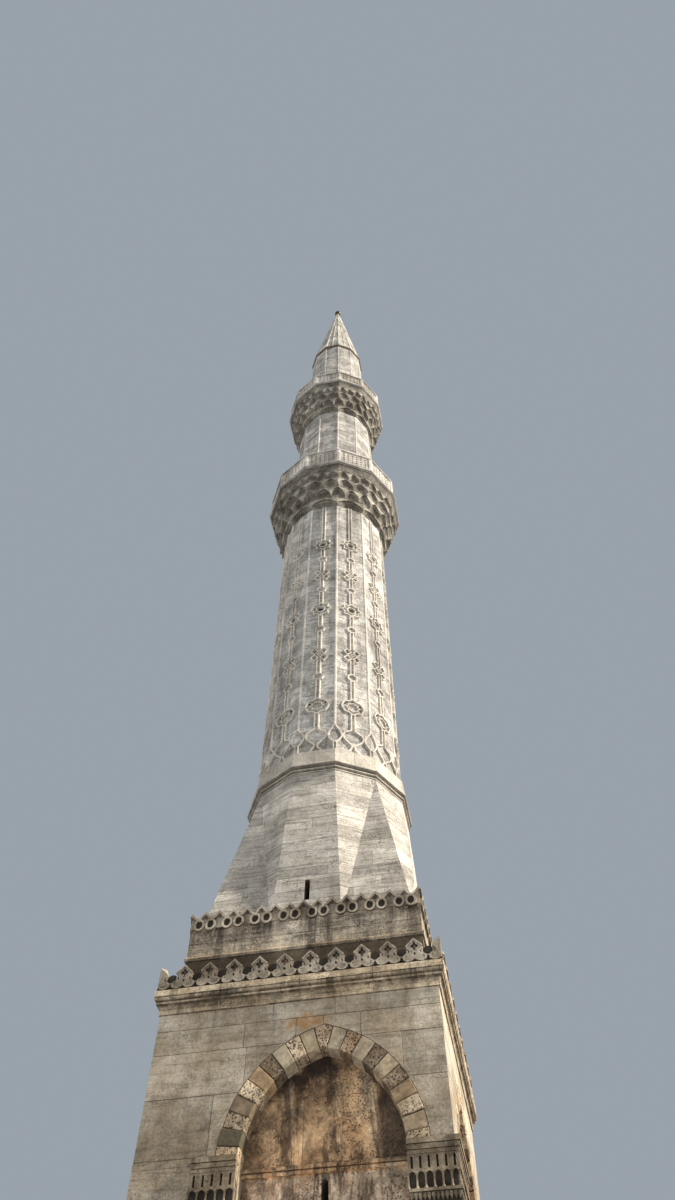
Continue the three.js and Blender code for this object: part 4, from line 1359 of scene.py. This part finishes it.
def pierced_panel(width, height):
    """Slab with a lattice of round and pointed holes."""
    border = 0.028
    pitch = (height - 2 * border) / PANEL_ROWS
    columns = max(3, round((width - 2 * border) / pitch))
    step = (width - 2 * border) / columns
    outlines = [rectangle(-width / 2, width / 2, 0, height)]
    for row in range(PANEL_ROWS):
        for column in range(columns):
            u, v = -width / 2 + border + step * (column + 0.5), border + pitch * (row + 0.5)
            outlines.append(arc(u, v, 0.27 * step, 0.27 * pitch, 22.5, 337.5, 7))
            if row < PANEL_ROWS - 1 and column < columns - 1:
                outlines.append(diamond(u + step / 2, v + pitch / 2, 0.14 * step, 0.14 * pitch))
    return filled(outlines, 0.045, 0.002)


def parapets(level, apothem):
    """Pierced slabs between posts, under a coping, three sides to a piece."""
    bottom, top, _ = extent(f"{level}_parapet_front")
    coping = top - 0.05
    width = 2 * (apothem - 0.02) * HALF_SIDE - 0.05
    panel = pierced_panel(width, coping - bottom)
    half = 0.034
    foot = -half * HALF_SIDE
    post = [(-half, foot - 0.066), (half, foot - 0.066), (half, foot + 0.005), (0, 0.006),
            (-half, foot + 0.005)]
    profile = shifted([(-0.068, 0), (0, 0), (0.006, 0.006), (0.011, 0.012)], apothem, coping)
    profile += shifted([(0.011, -0.012), (0.004, 0), (-0.062, 0), (-0.068, -0.006)], apothem, top)
    for side, turn in QUARTER_TURNS.items():
        rng, pile = Random(f"{level} {side}"), Pile()
        turns = [(turn // 30 + offset) % SIDES for offset in (-1, 0, 1)]
        for k in turns:
            face = tower_face(k)
            set_plate(pile, panel, face, 0, bottom, apothem - 0.055, rng.random())
            for v in (bottom + 0.013, coping - 0.013):
                strip(pile, face, [(-width / 2, v), (width / 2, v)], 0.014, apothem - 0.02,
                      apothem - 0.004, tone=0.7)
        for k in turns:
            corner_bar(pile, k, post, rng.random(), (apothem, bottom, 1), (apothem, coping, 1))
        run(pile, SIDES, profile, 1, rng, gap=0.0, turns=turns)
        piece(f"{level}_parapet_{side}_slabs", pile, parapet_stone,
              [f"{level}_parapet_{side}"])


# Eaves, roof and ball


def eaves():
    bottom, top, outer = extent("eaves")
    inner = 0.36
    rise = [(0.001, 0), (0.012, 0.012), (0.012, 0.030)]
    profile = [(inner, bottom)] + shifted(rise, DRUM_APOTHEM, bottom)
    profile += [(outer - 0.008, bottom + 0.062), (outer, bottom + 0.070), (outer, top - 0.004),
                (outer - 0.006, top), (inner, top)]
    # The eaves use the dark band stone as painted shade under their overhang.
    moulding_piece("eaves_stones", SIDES, profile, 1, 41, painted_shade_band_stone, "eaves")


LEAD_ROWS, SEAM_ROWS = 9, 5


def cone():
    """Lead sheets that lap downwards on each side of the roof, with rolls on its edges."""
    rng, pile = Random(43), Pile()
    height, shrinkage = CONE_TOP - CONE_BOTTOM, CONE_FOOT - CONE_TIP
    length = math.hypot(height, shrinkage)
    upwards = np.array((0, 0, 1))
    marks = [length * (1 - (1 - i / LEAD_ROWS) ** 1.15) for i in range(LEAD_ROWS + 1)]
    for k in range(SIDES):
        flat = upright(FRONT + 30 * k)
        up = -flat.out * shrinkage / length + upwards * height / length
        out = flat.out * height / length + upwards * shrinkage / length
        face = Face(flat.out * CONE_FOOT + upwards * CONE_BOTTOM, flat.across, up, out)
        for i in range(LEAD_ROWS):
            low, high = marks[i], min(marks[i + 1] + 0.025, length)
            wide, narrow = ((CONE_FOOT - shrinkage * mark / length) * HALF_SIDE - 0.001
                            for mark in (low, high))
            outline = [(-wide, low, True), (wide, low, False), (narrow, high, False),
                       (-narrow, high, False)]

            def tilt(v, low=low, high=high):
                return 0.0075 - 0.0065 * (v - low) / (high - low)

            prism(pile, face, outline, tilt, -0.004, 0.001, rng.random())
            if i < SEAM_ROWS:
                strip(pile, face, [(0, low + 0.01), (0, high)], 0.020, 0.0, 0.014, tone=0.8)
    roll = ((-1.0, -0.5), (-0.8, 0.5), (0.0, 1.0), (0.8, 0.5), (1.0, -0.5), (0.0, -1.2))
    for k in range(SIDES):
        corner_bar(pile, k, roll, 0.6, (CONE_FOOT, CONE_BOTTOM, 0.016),
                   (CONE_TIP, CONE_TOP - 0.002, 0.007))
    piece("cone_lead_sheets", pile, lead)


def ball():
    pile = Pile()
    bottom, top, _ = extent("ball")
    radius, steps = 0.083, 20
    neck = [(0.048, 0), (0.050, 0.012), (0.046, 0.024), (0.032, 0.038), (0.030, 0.060),
            (0.038, 0.080), (0.040, 0.098)]
    profile = shifted(neck, 0, bottom)
    start = math.asin(0.042 / radius)
    for angle in (start + (math.pi - start) * i / steps for i in range(steps + 1)):
        height = top - radius - radius * math.cos(angle)
        profile.append((max(radius * math.sin(angle), 0.001), height))
    lathe(pile, (0, 0), profile, 32)
    piece("ball_finial", pile, gilt, ["ball"])


# Cores that stay from the frame


def dress_cores():
    cores = ("base_wall", "upper_base", "shoe", "lower_shaft", "upper_shaft", "drum", "cone")
    for name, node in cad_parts.items():
        if name.startswith(cores):
            node.data.materials.clear()
            node.data.materials.append({"upper_base": tier_stone, "cone": lead}.get(name, mortar))


# Studio and camera


def studio():
    """Pale floor, even pale surroundings, a warm key light from the right and a broad soft fill."""
    mesh = bpy.data.meshes.new("studio_floor")
    corners = [(u, v, 0) for u, v, _ in rectangle(-400, 400, -400, 400)]
    mesh.from_pydata(corners, [], [(0, 1, 2, 3)])
    floor = new_object("studio_floor", mesh)
    n = Nodes("studio_floor")
    mesh.materials.append(n.finish(n.mix(n.noise(0.6, 3.0), "babec4", "c4c8ce"), 0.9))

    world = bpy.data.worlds.new("studio_world")
    world.use_nodes = True
    background = world.node_tree.nodes["Background"]
    background.inputs["Color"].default_value = (0.78, 0.885, 1.0, 1.0)
    background.inputs["Strength"].default_value = 0.41
    bpy.context.scene.world = world
    bpy.context.scene.view_settings.view_transform = "Standard"

    sunlight("key_light", 6.4, (1.0, 0.92, 0.80), -5, 35, 3)
    sunlight("fill_light", 0.45, (1.0, 0.90, 0.76), -125, 20, 120)


def direction(azimuth, elevation):
    """Unit vector for angles in degrees."""
    azimuth, elevation = math.radians(azimuth), math.radians(elevation)
    level = math.cos(elevation)
    return Vector((math.cos(azimuth) * level, math.sin(azimuth) * level, math.sin(elevation)))


def sunlight(name, energy, colour, azimuth, elevation, spread):
    """Even light from a direction and over a spread in degrees."""
    lamp = bpy.data.lights.new(name, "SUN")
    lamp.energy, lamp.color, lamp.angle = energy, colour, math.radians(spread)
    obj = new_object(name, lamp)
    obj.rotation_mode = "QUATERNION"
    obj.rotation_quaternion = direction(azimuth, elevation).to_track_quat("Z", "Y")


# Camera as fitted to the photograph, with angles in degrees
CAMERA_PLACE = (1.480, -6.893, 0.8)
CAMERA_HEADING, CAMERA_TILT, CAMERA_ROLL = 102.12, 57.0, 0.908
PHOTO_WIDTH, PHOTO_HEIGHT = 675, 1200
FOCAL_PIXELS = 878.3
PRINCIPAL_U = 333.28


def camera():
    data = bpy.data.cameras.new("photo_camera")
    data.sensor_width = 36.0
    data.lens = FOCAL_PIXELS / PHOTO_HEIGHT * data.sensor_width
    data.shift_x = (PHOTO_WIDTH / 2 - PRINCIPAL_U) / PHOTO_HEIGHT
    data.clip_start, data.clip_end = 0.1, 500
    obj = new_object("photo_camera", data)
    forward = direction(CAMERA_HEADING, CAMERA_TILT)
    right = forward.cross(Vector((0, 0, 1))).normalized()
    up = right.cross(forward)
    roll = math.radians(CAMERA_ROLL)
    turned_right = right * math.cos(roll) + up * math.sin(roll)
    turned_up = up * math.cos(roll) - right * math.sin(roll)
    matrix = Matrix((turned_right, turned_up, -forward)).transposed().to_4x4()
    matrix.translation = Vector(CAMERA_PLACE)
    obj.matrix_world = matrix
    bpy.context.scene.camera = obj


camera()
studio()
dress_cores()
plinth()
base_walls()
niche_blocks()
arches()
capitals()
cornice()
crest()
frieze()
upper_storey()
shoe()
ring_moulding()
shaft_blocks("lower_shaft_blocks", SHAFT_APOTHEM, RING_TOP, SHAFT_TOP, 31)
shaft_relief()
shaft_blocks("upper_shaft_blocks", UPPER_APOTHEM, UPPER_BOTTOM, UPPER_TOP, 33,
             balcony_door(UPPER_BOTTOM))
shaft_blocks("drum_blocks", DRUM_APOTHEM, DRUM_BOTTOM, DRUM_TOP, 35, balcony_door(DRUM_BOTTOM))
upper_ribs()
LOWER_FLOOR, UPPER_FLOOR = 1.055, 0.942
corbel("lower_corbel", LOWER_FLOOR, SHAFT_APOTHEM, 37)
corbel("upper_corbel", UPPER_FLOOR, UPPER_APOTHEM, 39)
balcony_floor("lower_balcony_floor", 0.46, 45)
balcony_floor("upper_balcony_floor", 0.36, 47)
parapets("lower", LOWER_FLOOR)
parapets("upper", UPPER_FLOOR)
eaves()
cone()
ball()
